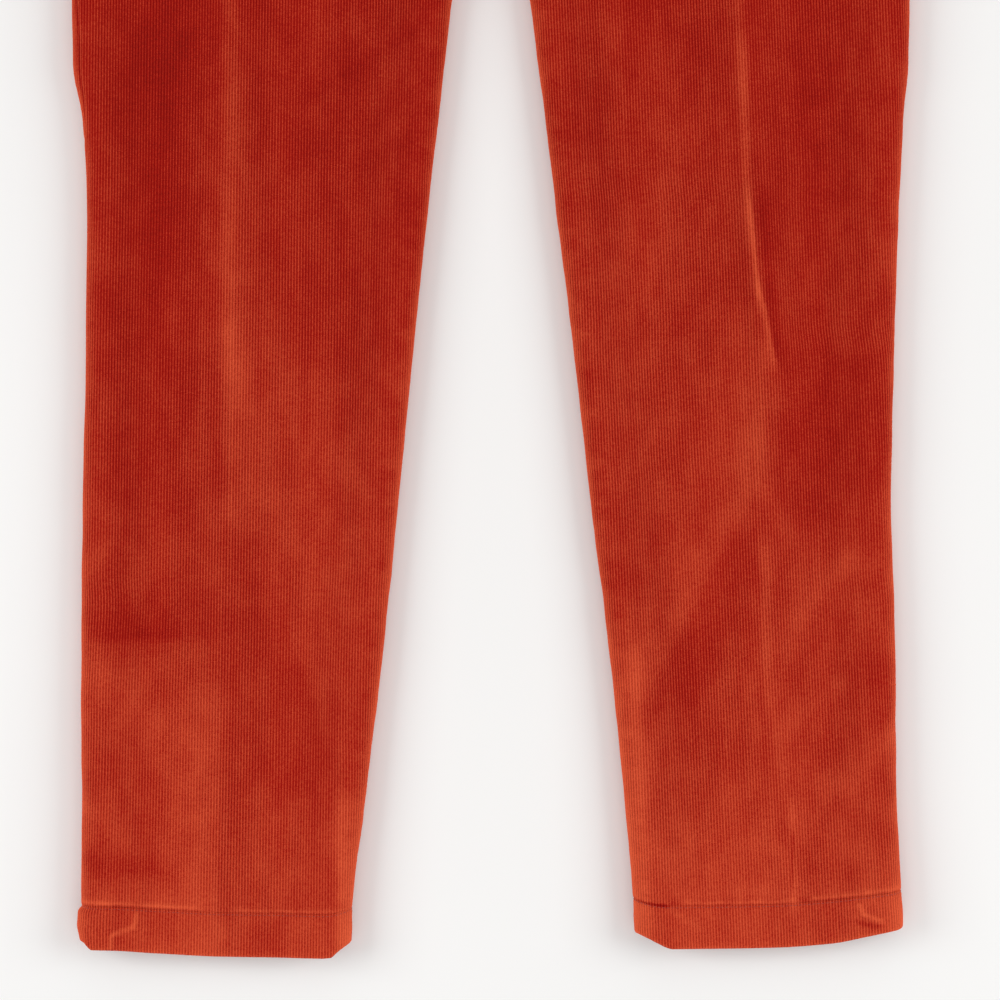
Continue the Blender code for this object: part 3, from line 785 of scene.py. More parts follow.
def lay(
    name: str,
    outer: Sequence[Row],
    inner: Sequence[Row],
    finish: bpy.types.Material,
    ring: bool = False,
) -> bpy.types.Object:
    """Make a sheet of cloth in place of a solid.

    Args:
        name: The solid's name.
        outer: Rows of the side that shows.
        inner: Rows of the hidden side.
        finish: The material.
        ring: Whether each row closes on itself.

    Returns:
        The sheet.
    """
    made = Shell(name + "_cloth").build(outer, inner, finish, ring)
    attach(made, "root")
    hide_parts(name)
    return made


class Cut(NamedTuple):
    """The flat shape that a sheet was cut to, as far as it shows."""

    width: float
    length: float
    area: float


def cut_between(low: Sequence[float], high: Sequence[float], heights: Array) -> Cut:
    """The cut of a sheet, from where its rows begin and end across the cords at some heights."""
    spans = np.array(high) - np.array(low)
    area = float(((spans[1:] + spans[:-1]) / 2 * np.diff(heights)).sum())
    return Cut(float(max(high) - min(low)), float(heights[-1] - heights[0]), area)


def seam_dip(distance: Array | float, depth: float = 0.00045, width: float = 0.0013) -> Array:
    """How far cloth rolls down towards a seam at this distance from it."""
    return depth * np.exp(-((np.asarray(distance) / width) ** 2))


# ---------------------------------------------------------------- node helpers
class Nodes:
    """Shorthand for adding and linking nodes in one tree."""

    def __init__(self, tree: bpy.types.NodeTree) -> None:
        """Work on this tree."""
        self.tree = tree

    def add(self, kind: str, settings: dict | None = None, **inputs: object) -> bpy.types.Node:
        """Add a node.

        Args:
            kind: The node's type.
            settings: Values of the node's own properties.
            **inputs: Values or sockets for its inputs, named with _ for spaces, or i0, i1 by number.

        Returns:
            The node.
        """
        node = self.tree.nodes.new(kind)
        for key, value in (settings or {}).items():
            setattr(node, key, value)
        for key, value in inputs.items():
            by_number = key[0] == "i" and key[1:].isdigit()
            socket = node.inputs[int(key[1:]) if by_number else key.replace("_", " ")]
            if isinstance(value, bpy.types.NodeSocket):
                self.tree.links.new(value, socket)
            else:
                socket.default_value = value
        return node

    def math(self, operation: str, *values: object) -> bpy.types.NodeSocket:
        """A Math node's result."""
        numbered = {f"i{k}": value for k, value in enumerate(values)}
        return self.add("ShaderNodeMath", {"operation": operation}, **numbered).outputs[0]

    def ramp(self, value: object, low: float, high: float, start: float, end: float) -> object:
        """A value that goes smoothly from start to end as the input goes from low to high."""
        node = self.add(
            "ShaderNodeMapRange",
            {"interpolation_type": "SMOOTHSTEP"},
            i0=value,
            i1=low,
            i2=high,
            i3=start,
            i4=end,
        )
        return node.outputs[0]

    def mix(self, share: object, first: object, second: object) -> bpy.types.NodeSocket:
        """A mix of two colours."""
        node = self.add("ShaderNodeMix", {"data_type": "RGBA"}, i0=share, i6=first, i7=second)
        return node.outputs[2]

    def noise(self, vector: object, scale: float, detail: float = 2.0) -> bpy.types.NodeSocket:
        """A noise between 0 and 1."""
        node = self.add("ShaderNodeTexNoise", Vector=vector, Scale=scale, Detail=detail)
        return node.outputs["Fac"]

    def stretched(self, vector: object, scale: tuple[float, float, float]) -> object:
        """The vector with each part of it scaled."""
        node = self.add("ShaderNodeMapping", Vector=vector, Scale=scale)
        return node.outputs["Vector"]

    def bump(self, shader: bpy.types.Node, strength: float, distance: float, height: object) -> None:
        """Give a shader fine relief."""
        node = self.add("ShaderNodeBump", Strength=strength, Distance=distance, Height=height)
        self.tree.links.new(node.outputs[0], shader.inputs["Normal"])


def node_group(name: str, inputs: dict[str, float], outputs: Sequence[str]) -> tuple:
    """Start a shader node group of float sockets.

    Args:
        name: The group's name.
        inputs: Each input's name and default. A "Vector" input is a vector.
        outputs: The outputs' names.

    Returns:
        The tree, its helper, its input node and its output node.
    """
    tree = bpy.data.node_groups.new(name, "ShaderNodeTree")
    for key, value in inputs.items():
        kind = "NodeSocketVector" if key == "Vector" else "NodeSocketFloat"
        socket = tree.interface.new_socket(key, in_out="INPUT", socket_type=kind)
        if key != "Vector":
            socket.default_value = value
    for key in outputs:
        tree.interface.new_socket(key, in_out="OUTPUT", socket_type="NodeSocketFloat")
    return (
        tree,
        Nodes(tree),
        tree.nodes.new("NodeGroupInput"),
        tree.nodes.new("NodeGroupOutput"),
    )


def cord_group() -> bpy.types.NodeTree:
    """The group that tells rib from groove, and how the pile's tufts vary along the ribs."""
    tree, n, given, out = node_group(
        "cords",
        {"Vector": 0.0, "Across": 0.0, "Pitch": CORDS.pitch},
        ("Groove", "Tip", "Streak", "Tuft", "Fleck"),
    )
    turns = n.math("DIVIDE", given.outputs["Across"], given.outputs["Pitch"])
    phase = n.math("FRACT", turns)
    from_middle = n.math("ABSOLUTE", n.math("SUBTRACT", phase, 0.5))
    rib = n.math("FLOOR", turns)
    tree.links.new(n.ramp(from_middle, 0.14, 0.45, 0.0, 1.0), out.inputs["Groove"])
    # Where the painted highlight falls, along the rib tops.
    tree.links.new(n.ramp(from_middle, 0.0, 0.26, 1.0, 0.0), out.inputs["Tip"])
    own = n.add("ShaderNodeTexWhiteNoise", {"noise_dimensions": "1D"}, W=rib).outputs[0]
    long_noise = n.noise(n.stretched(given.outputs["Vector"], (520.0, 22.0, 22.0)), 1.0, 2.0)
    streak = n.math("ADD", n.math("MULTIPLY", own, 0.45), n.math("MULTIPLY", long_noise, 0.55))
    tree.links.new(streak, out.inputs["Streak"])
    for name, scale in (("Tuft", (2300.0, 1300.0, 1300.0)), ("Fleck", (700.0, 420.0, 420.0))):
        found = n.noise(n.stretched(given.outputs["Vector"], scale), 1.0, 2.0)
        tree.links.new(found, out.inputs[name])
    return tree


def blotch_group() -> bpy.types.NodeTree:
    """The group of large soft patches that the pile shows wherever it was touched."""
    tree, n, given, out = node_group("nap_blotches", {"Vector": 0.0}, ("Wide", "Small", "Clear"))
    patches = (
        ("Wide", (14.0, 7.0, 10.0), 3.0),
        ("Small", (75.0, 45.0, 60.0), 3.0),
        ("Clear", (24.0, 5.0, 24.0), 2.0),
    )
    for name, scale, detail in patches:
        found = n.noise(n.stretched(given.outputs["Vector"], scale), 1.0, detail)
        tree.links.new(found, out.inputs[name])
    return tree


# ---------------------------------------------------------------- finishes
def start_material(name: str) -> tuple:
    """Start a material.

    Args:
        name: The material's name.

    Returns:
        The material, its helper, its shader, and the piece's own coordinates.
    """
    made = bpy.data.materials.new(name)
    made.use_nodes = True
    n = Nodes(made.node_tree)
    place = n.add("ShaderNodeTexCoord").outputs["Object"]
    return made, n, made.node_tree.nodes["Principled BSDF"], place


@dataclass(frozen=True)
class CorduroyFinish:
    """Rust-red corduroy: grooves darker with their own ground and painted shade, a painted highlight
    on the rib tops, and pile tone with painted light and shade.
    """

    name: str = "corduroy"
    # The groove colour holds painted shade in the recess besides the ground's own colour; the lighter
    # mix colour holds painted highlight and sheen besides pale pile; the deep colour holds painted
    # shade besides dark pile.
    groove: tuple[float, ...] = (0.215, 0.0002, 0.0001, 1.0)
    rib: tuple[float, ...] = (0.362, 0.0022, 0.0003, 1.0)
    worn_and_sheen: tuple[float, ...] = (0.80, 0.120, 0.044, 1.0)
    deep: tuple[float, ...] = (0.145, 0.0002, 0.0001, 1.0)
    along_band: bool = False
    brushed: float = 0.15
    tips: float = 0.42
    sheen: float = 0.10

    def build(self) -> bpy.types.Material:
        """Make the material."""
        made, n, shader, place = start_material(self.name)
        tree = made.node_tree
        uv = n.add("ShaderNodeUVMap", {"uv_map": "cloth"}).outputs[0]
        parts = n.add("ShaderNodeSeparateXYZ", Vector=uv).outputs
        across = parts[1] if self.along_band else parts[0]
        turned = n.add("ShaderNodeCombineXYZ", X=across, Y=parts[0] if self.along_band else parts[1])
        cords = n.add("ShaderNodeGroup", {"node_tree": bpy.data.node_groups["cords"]})
        tree.links.new(turned.outputs[0], cords.inputs["Vector"])
        tree.links.new(across, cords.inputs["Across"])
        blotches = n.add("ShaderNodeGroup", {"node_tree": bpy.data.node_groups["nap_blotches"]})
        tree.links.new(place, blotches.inputs["Vector"])
        # The painted tone from the mesh: pile tone with painted highlight, shade and sheen.
        nap = n.add("ShaderNodeAttribute", {"attribute_name": "nap"}).outputs["Fac"]

        streak = n.ramp(cords.outputs["Streak"], 0.25, 0.75, -0.025, 0.025)
        tuft = n.ramp(cords.outputs["Tuft"], 0.3, 0.7, -0.17, 0.17)
        fleck = n.ramp(cords.outputs["Fleck"], 0.3, 0.7, -0.08, 0.08)
        wide = n.ramp(blotches.outputs["Wide"], 0.3, 0.7, -0.05, 0.05)
        small = n.ramp(blotches.outputs["Small"], 0.3, 0.7, -0.06, 0.06)
        clear = n.ramp(blotches.outputs["Clear"], 0.36, 0.64, 0.60, 1.0)
        # The grooves are darker: the cloth's own ground, and painted shade in the recess.
        groove = n.math("MULTIPLY", cords.outputs["Groove"], n.ramp(tuft, -0.17, 0.17, 1.0, 0.8))
        groove = n.math("MULTIPLY", groove, clear)
        cloth = n.mix(groove, self.rib, self.groove)
        fine = n.math("ADD", n.math("ADD", streak, tuft), fleck)
        broad = n.math("ADD", n.math("ADD", wide, small), nap)
        tone = n.math("ADD", n.math("ADD", fine, broad), self.brushed)
        lift = n.math("MAXIMUM", tone, 0.0)
        beyond = n.math("MAXIMUM", n.math("SUBTRACT", lift, self.brushed), 0.0)
        all_over = n.math("MULTIPLY_ADD", lift, 0.35, n.math("MULTIPLY", beyond, 0.65))
        # Painted highlight along the rib tops, stronger where the tone is lighter.
        tips = n.math("MULTIPLY", cords.outputs["Tip"], n.ramp(tone, -0.15, 0.20, 0.12, self.tips))
        lighter = n.math("ADD", all_over, tips)
        # Darker tones, from the pile and from painted shade, mix towards the deep colour; lighter
        # ones, from the pile, painted highlight and painted sheen, towards the lighter colour.
        darker = n.math("MULTIPLY", n.math("MINIMUM", tone, 0.0), -2.0)
        lighter = n.math("MINIMUM", lighter, 0.9)
        toned = n.mix(lighter, n.mix(darker, cloth, self.deep), self.worn_and_sheen)
        tree.links.new(toned, shader.inputs["Base Color"])
        rough = n.ramp(tuft, -0.17, 0.17, 0.95, 0.84)
        tree.links.new(rough, shader.inputs["Roughness"])
        shader.inputs["Specular IOR Level"].default_value = 0.12
        shader.inputs["Sheen Weight"].default_value = self.sheen
        shader.inputs["Sheen Roughness"].default_value = 0.42
        shader.inputs["Sheen Tint"].default_value = (1.0, 0.42, 0.24, 1.0)
        n.bump(shader, 0.35, 0.0003, cords.outputs["Tuft"])
        return made


@dataclass(frozen=True)
class ThreadFinish:
    """Twisted sewing thread, a little lighter than the cloth."""

    name: str = "thread"
    light: tuple[float, ...] = (0.50, 0.055, 0.026, 1.0)
    dark: tuple[float, ...] = (0.26, 0.015, 0.007, 1.0)

    def build(self) -> bpy.types.Material:
        """Make the material."""
        made, n, shader, place = start_material(self.name)
        twist = n.noise(n.stretched(place, (3000.0, 3000.0, 3000.0)), 1.0, 1.0)
        colour = n.mix(n.ramp(twist, 0.35, 0.65, 0.0, 1.0), self.dark, self.light)
        made.node_tree.links.new(colour, shader.inputs["Base Color"])
        shader.inputs["Roughness"].default_value = 0.7
        shader.inputs["Sheen Weight"].default_value = 0.2
        n.bump(shader, 0.4, 0.0002, twist)
        return made


@dataclass(frozen=True)
class HornFinish:
    """Polished imitation horn, streaked brown."""

    name: str = "horn"

    def build(self) -> bpy.types.Material:
        """Make the material."""
        made, n, shader, place = start_material(self.name)
        clouds = n.noise(n.stretched(place, (260.0, 90.0, 260.0)), 1.0, 4.0)
        lines = n.noise(n.stretched(place, (1500.0, 180.0, 900.0)), 1.0, 2.0)
        mixed = n.math("ADD", n.math("MULTIPLY", clouds, 0.7), n.math("MULTIPLY", lines, 0.3))
        colour = n.mix(
            n.ramp(mixed, 0.35, 0.65, 0.0, 1.0), (0.035, 0.012, 0.006, 1.0), (0.23, 0.085, 0.035, 1.0)
        )
        made.node_tree.links.new(colour, shader.inputs["Base Color"])
        made.node_tree.links.new(n.ramp(lines, 0.3, 0.7, 0.22, 0.38), shader.inputs["Roughness"])
        n.bump(shader, 0.15, 0.0002, lines)
        return made


@dataclass(frozen=True)
class TapeFinish:
    """The zip's woven tape."""

    name: str = "zip_tape"

    def build(self) -> bpy.types.Material:
        """Make the material."""
        made, n, shader, place = start_material(self.name)
        weave = n.add(
            "ShaderNodeTexWave",
            {"bands_direction": "DIAGONAL"},
            Vector=n.stretched(place, (900.0, 900.0, 900.0)),
            Scale=1.0,
            Distortion=0.6,
        ).outputs["Fac"]
        colour = n.mix(weave, (0.16, 0.012, 0.008, 1.0), (0.30, 0.03, 0.018, 1.0))
        made.node_tree.links.new(colour, shader.inputs["Base Color"])
        shader.inputs["Roughness"].default_value = 0.8
        n.bump(shader, 0.4, 0.0002, weave)
        return made


@dataclass(frozen=True)
class FloorFinish:
    """A plain pale surface."""

    name: str = "floor"
    tone: tuple[float, ...] = (0.895, 0.905, 0.905, 1.0)

    def build(self) -> bpy.types.Material:
        """Make the material."""
        made, n, shader, place = start_material(self.name)
        cloud = n.noise(place, 2.0, 2.0)
        darker = tuple(c * 0.985 for c in self.tone[:3]) + (1.0,)
        colour = n.mix(n.ramp(cloud, 0.3, 0.7, 0.0, 1.0), self.tone, darker)
        made.node_tree.links.new(colour, shader.inputs["Base Color"])
        shader.inputs["Roughness"].default_value = 0.9
        shader.inputs["Specular IOR Level"].default_value = 0.1
        return made


@dataclass
class Finishes:
    """All the materials, made once."""

    cloth: bpy.types.Material
    band: bpy.types.Material
    thread: bpy.types.Material
    horn: bpy.types.Material
    tape: bpy.types.Material
    floor: bpy.types.Material

    @classmethod
    def build(cls) -> "Finishes":
        """Make the shared groups and every material."""
        cord_group()
        blotch_group()
        return cls(
            CorduroyFinish().build(),
            CorduroyFinish(name="corduroy_band", along_band=True).build(),
            ThreadFinish().build(),
            HornFinish().build(),
            TapeFinish().build(),
            FloorFinish().build(),
        )


# ---------------------------------------------------------------- panels
def pocket_line(height: float) -> float:
    """How far out the slanted pocket mouth lies."""
    low = float(smooth(OUTLINE, "left_outer", POCKET_BOTTOM))
    high = float(smooth(OUTLINE, "left_outer", WAIST_SEAM)) - POCKET_WIDTH
    return low + (high - low) * (height - POCKET_BOTTOM) / (WAIST_SEAM - POCKET_BOTTOM)


@dataclass
class Panel:
    """A front or a back: one cut piece of cloth from the hem seam to the waist seam."""

    side: Side
    face: Face
    inner_step: float = 0.03

    @property
    def row_step(self) -> float:
        """The distance between rows, which is closer on the front."""
        return 0.0066 if self.face is Face.FRONT else 0.0092

    @property
    def name(self) -> str:
        """The name of the solid that the piece stands for."""
        return f"{self.face.name.lower()}_{self.side.word}"

    def start(self, section: Section) -> float:
        """The place where a row starts: the side seam, or the pocket's mouth."""
        if self.face is Face.BACK or section.height <= POCKET_BOTTOM:
            return 0.0
        return section.place_of(pocket_line(section.height))

    def cut(self) -> Cut:
        """The flat shape between the seams."""
        heights = np.linspace(HEM_DEPTH, WAIST_SEAM, 60)
        sections = [Section(self.side, self.face, float(height)) for height in heights]
        low = [self.start(section) - section.grain for section in sections]
        high = [section.length - section.grain for section in sections]
        return cut_between(low, high, heights)

    def heights(self) -> Array:
        """The rows' heights, closer together just above the hem."""
        low, high = HEM_DEPTH + 0.00003, WAIST_SEAM
        fine = np.array([0.0, 0.0007, 0.0014, 0.0021, 0.0029, 0.0039, 0.0055, 0.008, 0.0115]) + low
        rest = np.linspace(fine[-1], high - 0.004, round((high - fine[-1]) / self.row_step))[1:]
        return np.concatenate([fine, rest, [high - 0.0016, high]])

    def depth(self, section: Section, places: Array, start: float) -> Array:
        """How far the visible surface lies inside the solid's own, at each place."""
        out = section.out_of(places)
        across = places - section.grain
        depth = CORDS.depth_at(across)
        edges = seam_dip(places - start) + seam_dip(section.length - places)
        edges = edges + seam_dip(section.height - HEM_DEPTH, 0.00025, 0.0010)
        depth = depth + self.pucker(section, places)
        edges = edges + seam_dip(WAIST_SEAM - section.height, 0.0004, 0.002)
        seed = 11 + self.side.value + 3 * self.face.value
        level = 0.00028 * (1 + waves(across, section.height, 0.045, seed))
        inside = ease((places - section.bend) / 0.008)
        inside = inside * ease((section.length - section.bend - places) / 0.008)
        creases = WRINKLES if self.face is Face.FRONT else BACK_WRINKLES
        depth = depth - inside * stroke_sum(creases, self.side, out, section.height)
        if self.face is Face.FRONT:
            crease = float(smooth(CREASE, self.side.word, section.height))
            pressed = 0.45 + 0.55 * math.sin(9.0 * section.height + self.side.value) ** 2
            depth = depth - CREASE_RISE * pressed * np.exp(-(((out - crease) / CREASE_WIDTH) ** 2))
        roll = self.roll(section, places)
        if roll is not None:
            depth = depth + seam_dip(roll, 0.0007, 0.0011)
        near_fork = float(ease((CROTCH + FORK_BLEND - section.height) / 0.01))
        near_fork = near_fork * (section.height > CROTCH - 0.004)
        at_seam = near_fork * np.exp(-(((section.length - places) / 0.004) ** 2))
        return (depth + edges + level) * (1 - at_seam)

    def pucker(self, section: Section, places: Array) -> Array:
        """Small dimples where the thread of the inseam draws the cloth in."""
        from_seam = section.length - section.bend - places
        return 0.00028 * (1 + self.pull(section)) * np.exp(-((from_seam / 0.006) ** 2))

    def pull(self, section: Section) -> float:
        """How hard the inseam's thread draws the cloth in at this height, from -1 to 1."""
        turns = math.tau * section.height / DIMPLE_PITCH + 1.5 * math.sin(31 * section.height)
        return math.sin(turns)

    def roll(self, section: Section, places: Array) -> Array | None:
        """Distances from the side seam where it has rolled to the front, or None elsewhere."""
        rolled = SEAM_ROLL[0].height < section.height < SEAM_ROLL[-1].height
        if self.face is Face.BACK or self.side is Side.LEFT or not rolled:
            return None
        return places - float(smooth(SEAM_ROLL, "place", section.height))

    def shade(self, section: Section, places: Array, start: float) -> Array:
        """The painted tone: patches of brushed pile, painted highlight and shade on the folds and the
        rolled seam, painted sheen along the seams and where the cloth turns, and painted shade in the
        inseam's dimples.
        """
        out = section.out_of(places)
        tone = nap_at(self.side, self.face, out, section.height)
        # The ridge just above the hem, which carries a painted highlight, brighter and darker by
        # turns along it.
        near_hem = math.exp(-(((section.height - 0.0312) / 0.002) ** 2))
        tone = tone + 0.14 * near_hem * waves(places, 0.0, 0.010, 33 + self.side.value)
        # Painted sheen along the seams and the pocket's mouth, where the cloth turns.
        edge = np.minimum(places - start, section.length - places)
        tone = tone + 0.14 * np.exp(-((edge / 0.0035) ** 2))
        roll = self.roll(section, places)
        if roll is not None:
            # Along the rolled side seam: a painted highlight on the rolled cloth, painted shade in
            # the seam's dip, and the cloth beyond the seam lighter.
            tone = tone + 0.25 * np.exp(-(((roll - 0.0014) / 0.0012) ** 2))
            tone = tone - 0.40 * np.exp(-((roll / 0.0009) ** 2)) + 0.10 * (roll < 0)
        if self.face is Face.FRONT:
            from_seam = section.length - section.bend - places
            # Painted shade in the inseam's dimples, darker where the thread draws the cloth in.
            tone = tone - 0.07 * self.pull(section) * np.exp(-((from_seam / 0.005) ** 2))
        # Painted sheen where the cloth turns on its side.
        tone = tone + section.painted_sheen(places)
        return tone

    def rows(self) -> tuple[list[Row], list[Row]]:
        """The outer rows, with a column for each part of a cord, and the plainer inner rows."""
        outer, inner = [], []
        heights = self.heights()
        step = max(1, round(self.inner_step / self.row_step))
        chosen = set(range(0, len(heights), step)) | {len(heights) - 1}
        for k, height in enumerate(heights):
            section = Section(self.side, self.face, float(height))
            start = self.start(section)
            across = CORDS.columns(start - section.grain, section.length - section.grain)
            places = np.concatenate([[start], across + section.grain, [section.length]])
            keys = np.concatenate([[-1.0], across, [1.0]])
            points = section.points(places, self.depth(section, places, start))
            uv = on_cloth(places - section.grain, height)
            outer.append(Row(keys, points, uv, self.shade(section, places, start)))
            if k in chosen:
                plain = np.linspace(start, section.length, 40)
                points = section.points(plain, CLOTH + INNER_SLACK)
                inner.append(plain_row(points, on_cloth(plain - section.grain, height)))
        return outer, inner

    def build(self, finish: bpy.types.Material) -> bpy.types.Object:
        """Make the panel."""
        return lay(self.name, *self.rows(), finish)


@dataclass
class Hem:
    """The turned-up hem at the end of a leg: a ring of doubled cloth."""

    side: Side
    heights: tuple[float, ...] = (
        *(0.0, 0.0004, 0.0011, 0.0022, 0.0040, 0.0060, 0.0080, 0.0100, 0.0120, 0.0140, 0.0160),
        *(0.0180, 0.0200, 0.0220, 0.0240, 0.0256, 0.0267, 0.0276, 0.0284, 0.0290),
    )
    stitch_line: float = 0.0276

    @property
    def name(self) -> str:
        """The name of the solid that the piece stands for."""
        return f"hem_{self.side.word}"

    def cut(self) -> Cut:
        """The flat shape of the turned-up band, all round the leg."""
        heights = np.linspace(0.0, HEM_DEPTH, 6)
        faces = [[Section(self.side, face, float(h), PROUD) for face in Face] for h in heights]
        round_leg = [sum(section.length for section in pair) for pair in faces]
        return cut_between(np.zeros(len(heights)), round_leg, heights)

    def inset(self, section: Section, places: Array) -> Array:
        """How far the visible surface lies inside the solid's own."""
        height = section.height
        out = section.out_of(places)
        turned = 0.0010 * (1 - math.sqrt(1 - (1 - min(height / 0.0022, 1.0)) ** 2))
        depth = CORDS.depth_at(places - section.grain) * float(ease(height / 0.0004 + 0.6))
        depth = depth + seam_dip(places) + seam_dip(section.length - places)
        pucker = 0.5 + 0.5 * waves(places, 0.0, 0.012, 5 + self.side.value)
        sunk = math.exp(-(((height - self.stitch_line) / 0.0010) ** 2))
        depth = depth + (0.00025 + 0.0003 * pucker) * sunk
        depth = depth + seam_dip(HEM_DEPTH - height, 0.00025, 0.0010)
        depth = depth + (PROUD + GAP / 6) * float(ease((height - 0.010) / 0.014))
        if section.face is Face.FRONT:
            depth = depth - stroke_sum(WRINKLES, self.side, out, height)
            crease = float(smooth(CREASE, self.side.word, height))
            depth = depth - CREASE_RISE * np.exp(-(((out - crease) / CREASE_WIDTH) ** 2))
            depth = depth + 0.00025 * (1 + waves(places, height, 0.03, 21 + self.side.value))
        return depth + turned

    def row(self, height: float, inner: float | None = None) -> Row:
        """One ring of points.

        Args:
            height: The height on the cloth.
            inner: The depth of the inner surface, or None for the outer one.

        Returns:
            The row, whose last point is its first.
        """
        points, uv, nap = [], [], []
        for face in Face:
            section = Section(self.side, face, height, PROUD)
            wide = Section(self.side, face, 0.0, PROUD)
            narrow = Section(self.side, face, HEM_DEPTH, PROUD)
            low = max(-wide.grain, -narrow.grain)
            high = min(wide.length - wide.grain, narrow.length - narrow.grain)
            across = CORDS.columns(low, high)
            if inner is not None:
                across = across[::12]
            places = np.concatenate([[0.0], across + section.grain, [section.length]])
            depth = self.inset(section, places) if inner is None else inner
            tone = nap_at(self.side, face, section.out_of(places), height)
            # Painted sheen along the hem's fold, and where the cloth turns on its side.
            tone = tone + 0.16 * math.exp(-((height / 0.0016) ** 2))
            tone = tone + section.painted_sheen(places)
            grid = section.points(places, depth)
            if self.side is Side.RIGHT:
                near_top = float(ease((HEM_DEPTH - height) / 0.006))
                near_fold = 0.35 + 0.65 * float(ease(height / 0.012))
                swell = BULGE * near_top * near_fold * np.exp(-((places / BULGE_REACH) ** 2))
                grid[:, 0] -= swell
            local = on_cloth(places - section.grain, height)
            tone = tone if inner is None else 0 * tone
            order = slice(None) if face is Face.FRONT else slice(None, None, -1)
            points.append(grid[order])
            uv.append(local[order])
            nap.append(tone[order])
        points.append(points[0][:1])
        uv.append(uv[0][:1])
        nap.append(nap[0][:1])
        keys = np.arange(float(sum(len(p) for p in points)))
        return Row(keys, np.concatenate(points), np.concatenate(uv), np.concatenate(nap))

    def build(self, finish: bpy.types.Material) -> bpy.types.Object:
        """Make the hem."""
        outer = [self.row(h) for h in self.heights]
        inner = [self.row(0.0, DOUBLED - 0.0010)]
        inner += [self.row(h, DOUBLED) for h in (0.0022, 0.012, 0.020, HEM_DEPTH)]
        return lay(self.name, outer, inner, finish, ring=True)

    def stitch_lines(self) -> list[Array]:
        """The line of stitches round the hem."""
        lines = []
        for face in Face:
            section = Section(self.side, face, self.stitch_line, PROUD)
            places = np.linspace(0.002, section.length - 0.002, 160)
            inset = self.inset(section, places) - CORDS.depth_at(places - section.grain)
            lines.append(section.points(places, inset - THREAD_RISE))
        return lines


# ---------------------------------------------------------------- the top of the garment
def over_front(x: Array, height: float, rise: Array | float, proud: float = 0.0) -> Array:
    """Points over the front near its middle, raised by rise."""
    found = np.zeros((len(x), 3))
    for side in Side:
        chosen = (x > 0) if side is Side.LEFT else (x <= 0)
        if not chosen.any():
            continue
        section = Section(side, Face.FRONT, height, proud)
        places = np.array([section.place_of(max(abs(v), GAP / 2)) for v in x[chosen]])
        found[chosen] = section.points(places, 0.0)
        found[chosen, 0] = x[chosen]
    found[:, 2] += rise
    return found


@dataclass
class Facing:
    """The cloth behind a slanted pocket mouth."""

    side: Side

    @property
    def name(self) -> str:
        """The name of the solid that the piece stands for."""
        return f"pocket_facing_{self.side.word}"

    def reach(self, section: Section) -> float:
        """The place where the facing ends, a little way under the front."""
        least = section.arc + 0.004
        if section.height <= POCKET_BOTTOM:
            return least
        return max(least, section.place_of(pocket_line(section.height)) + FACING_UNDERLAP)

    def cut(self) -> Cut:
        """The flat shape."""
        heights = np.linspace(FACING_BOTTOM, WAIST_SEAM, 25)
        sections = [Section(self.side, Face.FRONT, float(height)) for height in heights]
        high = [self.reach(section) for section in sections]
        return cut_between(np.zeros(len(heights)), high, heights)

    def rows(self) -> tuple[list[Row], list[Row]]:
        """Outer and inner rows."""
        outer, inner = [], []
        for k, height in enumerate(np.linspace(FACING_BOTTOM, WAIST_SEAM, 25)):
            section = Section(self.side, Face.FRONT, float(height))
            reach = self.reach(section)
            across = CORDS.columns(-section.grain, reach - section.grain)
            places = np.concatenate([[0.0], across + section.grain, [reach]])
            keys = np.concatenate([[-1.0], across, [1.0]])
            uv = on_cloth(places - section.grain, height)
            depth = CLOTH + GAP + CORDS.depth_at(places - section.grain) + seam_dip(places)
            outer.append(Row(keys, section.points(places, depth), uv, np.zeros(len(places)) - 0.07))
            if k % 4 == 0:
                plain = np.linspace(0.0, reach, 12)
                points = section.points(plain, 2 * CLOTH + GAP)
                inner.append(plain_row(points, on_cloth(plain, height)))
        return outer, inner

    def build(self, finish: bpy.types.Material) -> bpy.types.Object:
        """Make the facing."""
        return lay(self.name, *self.rows(), finish)


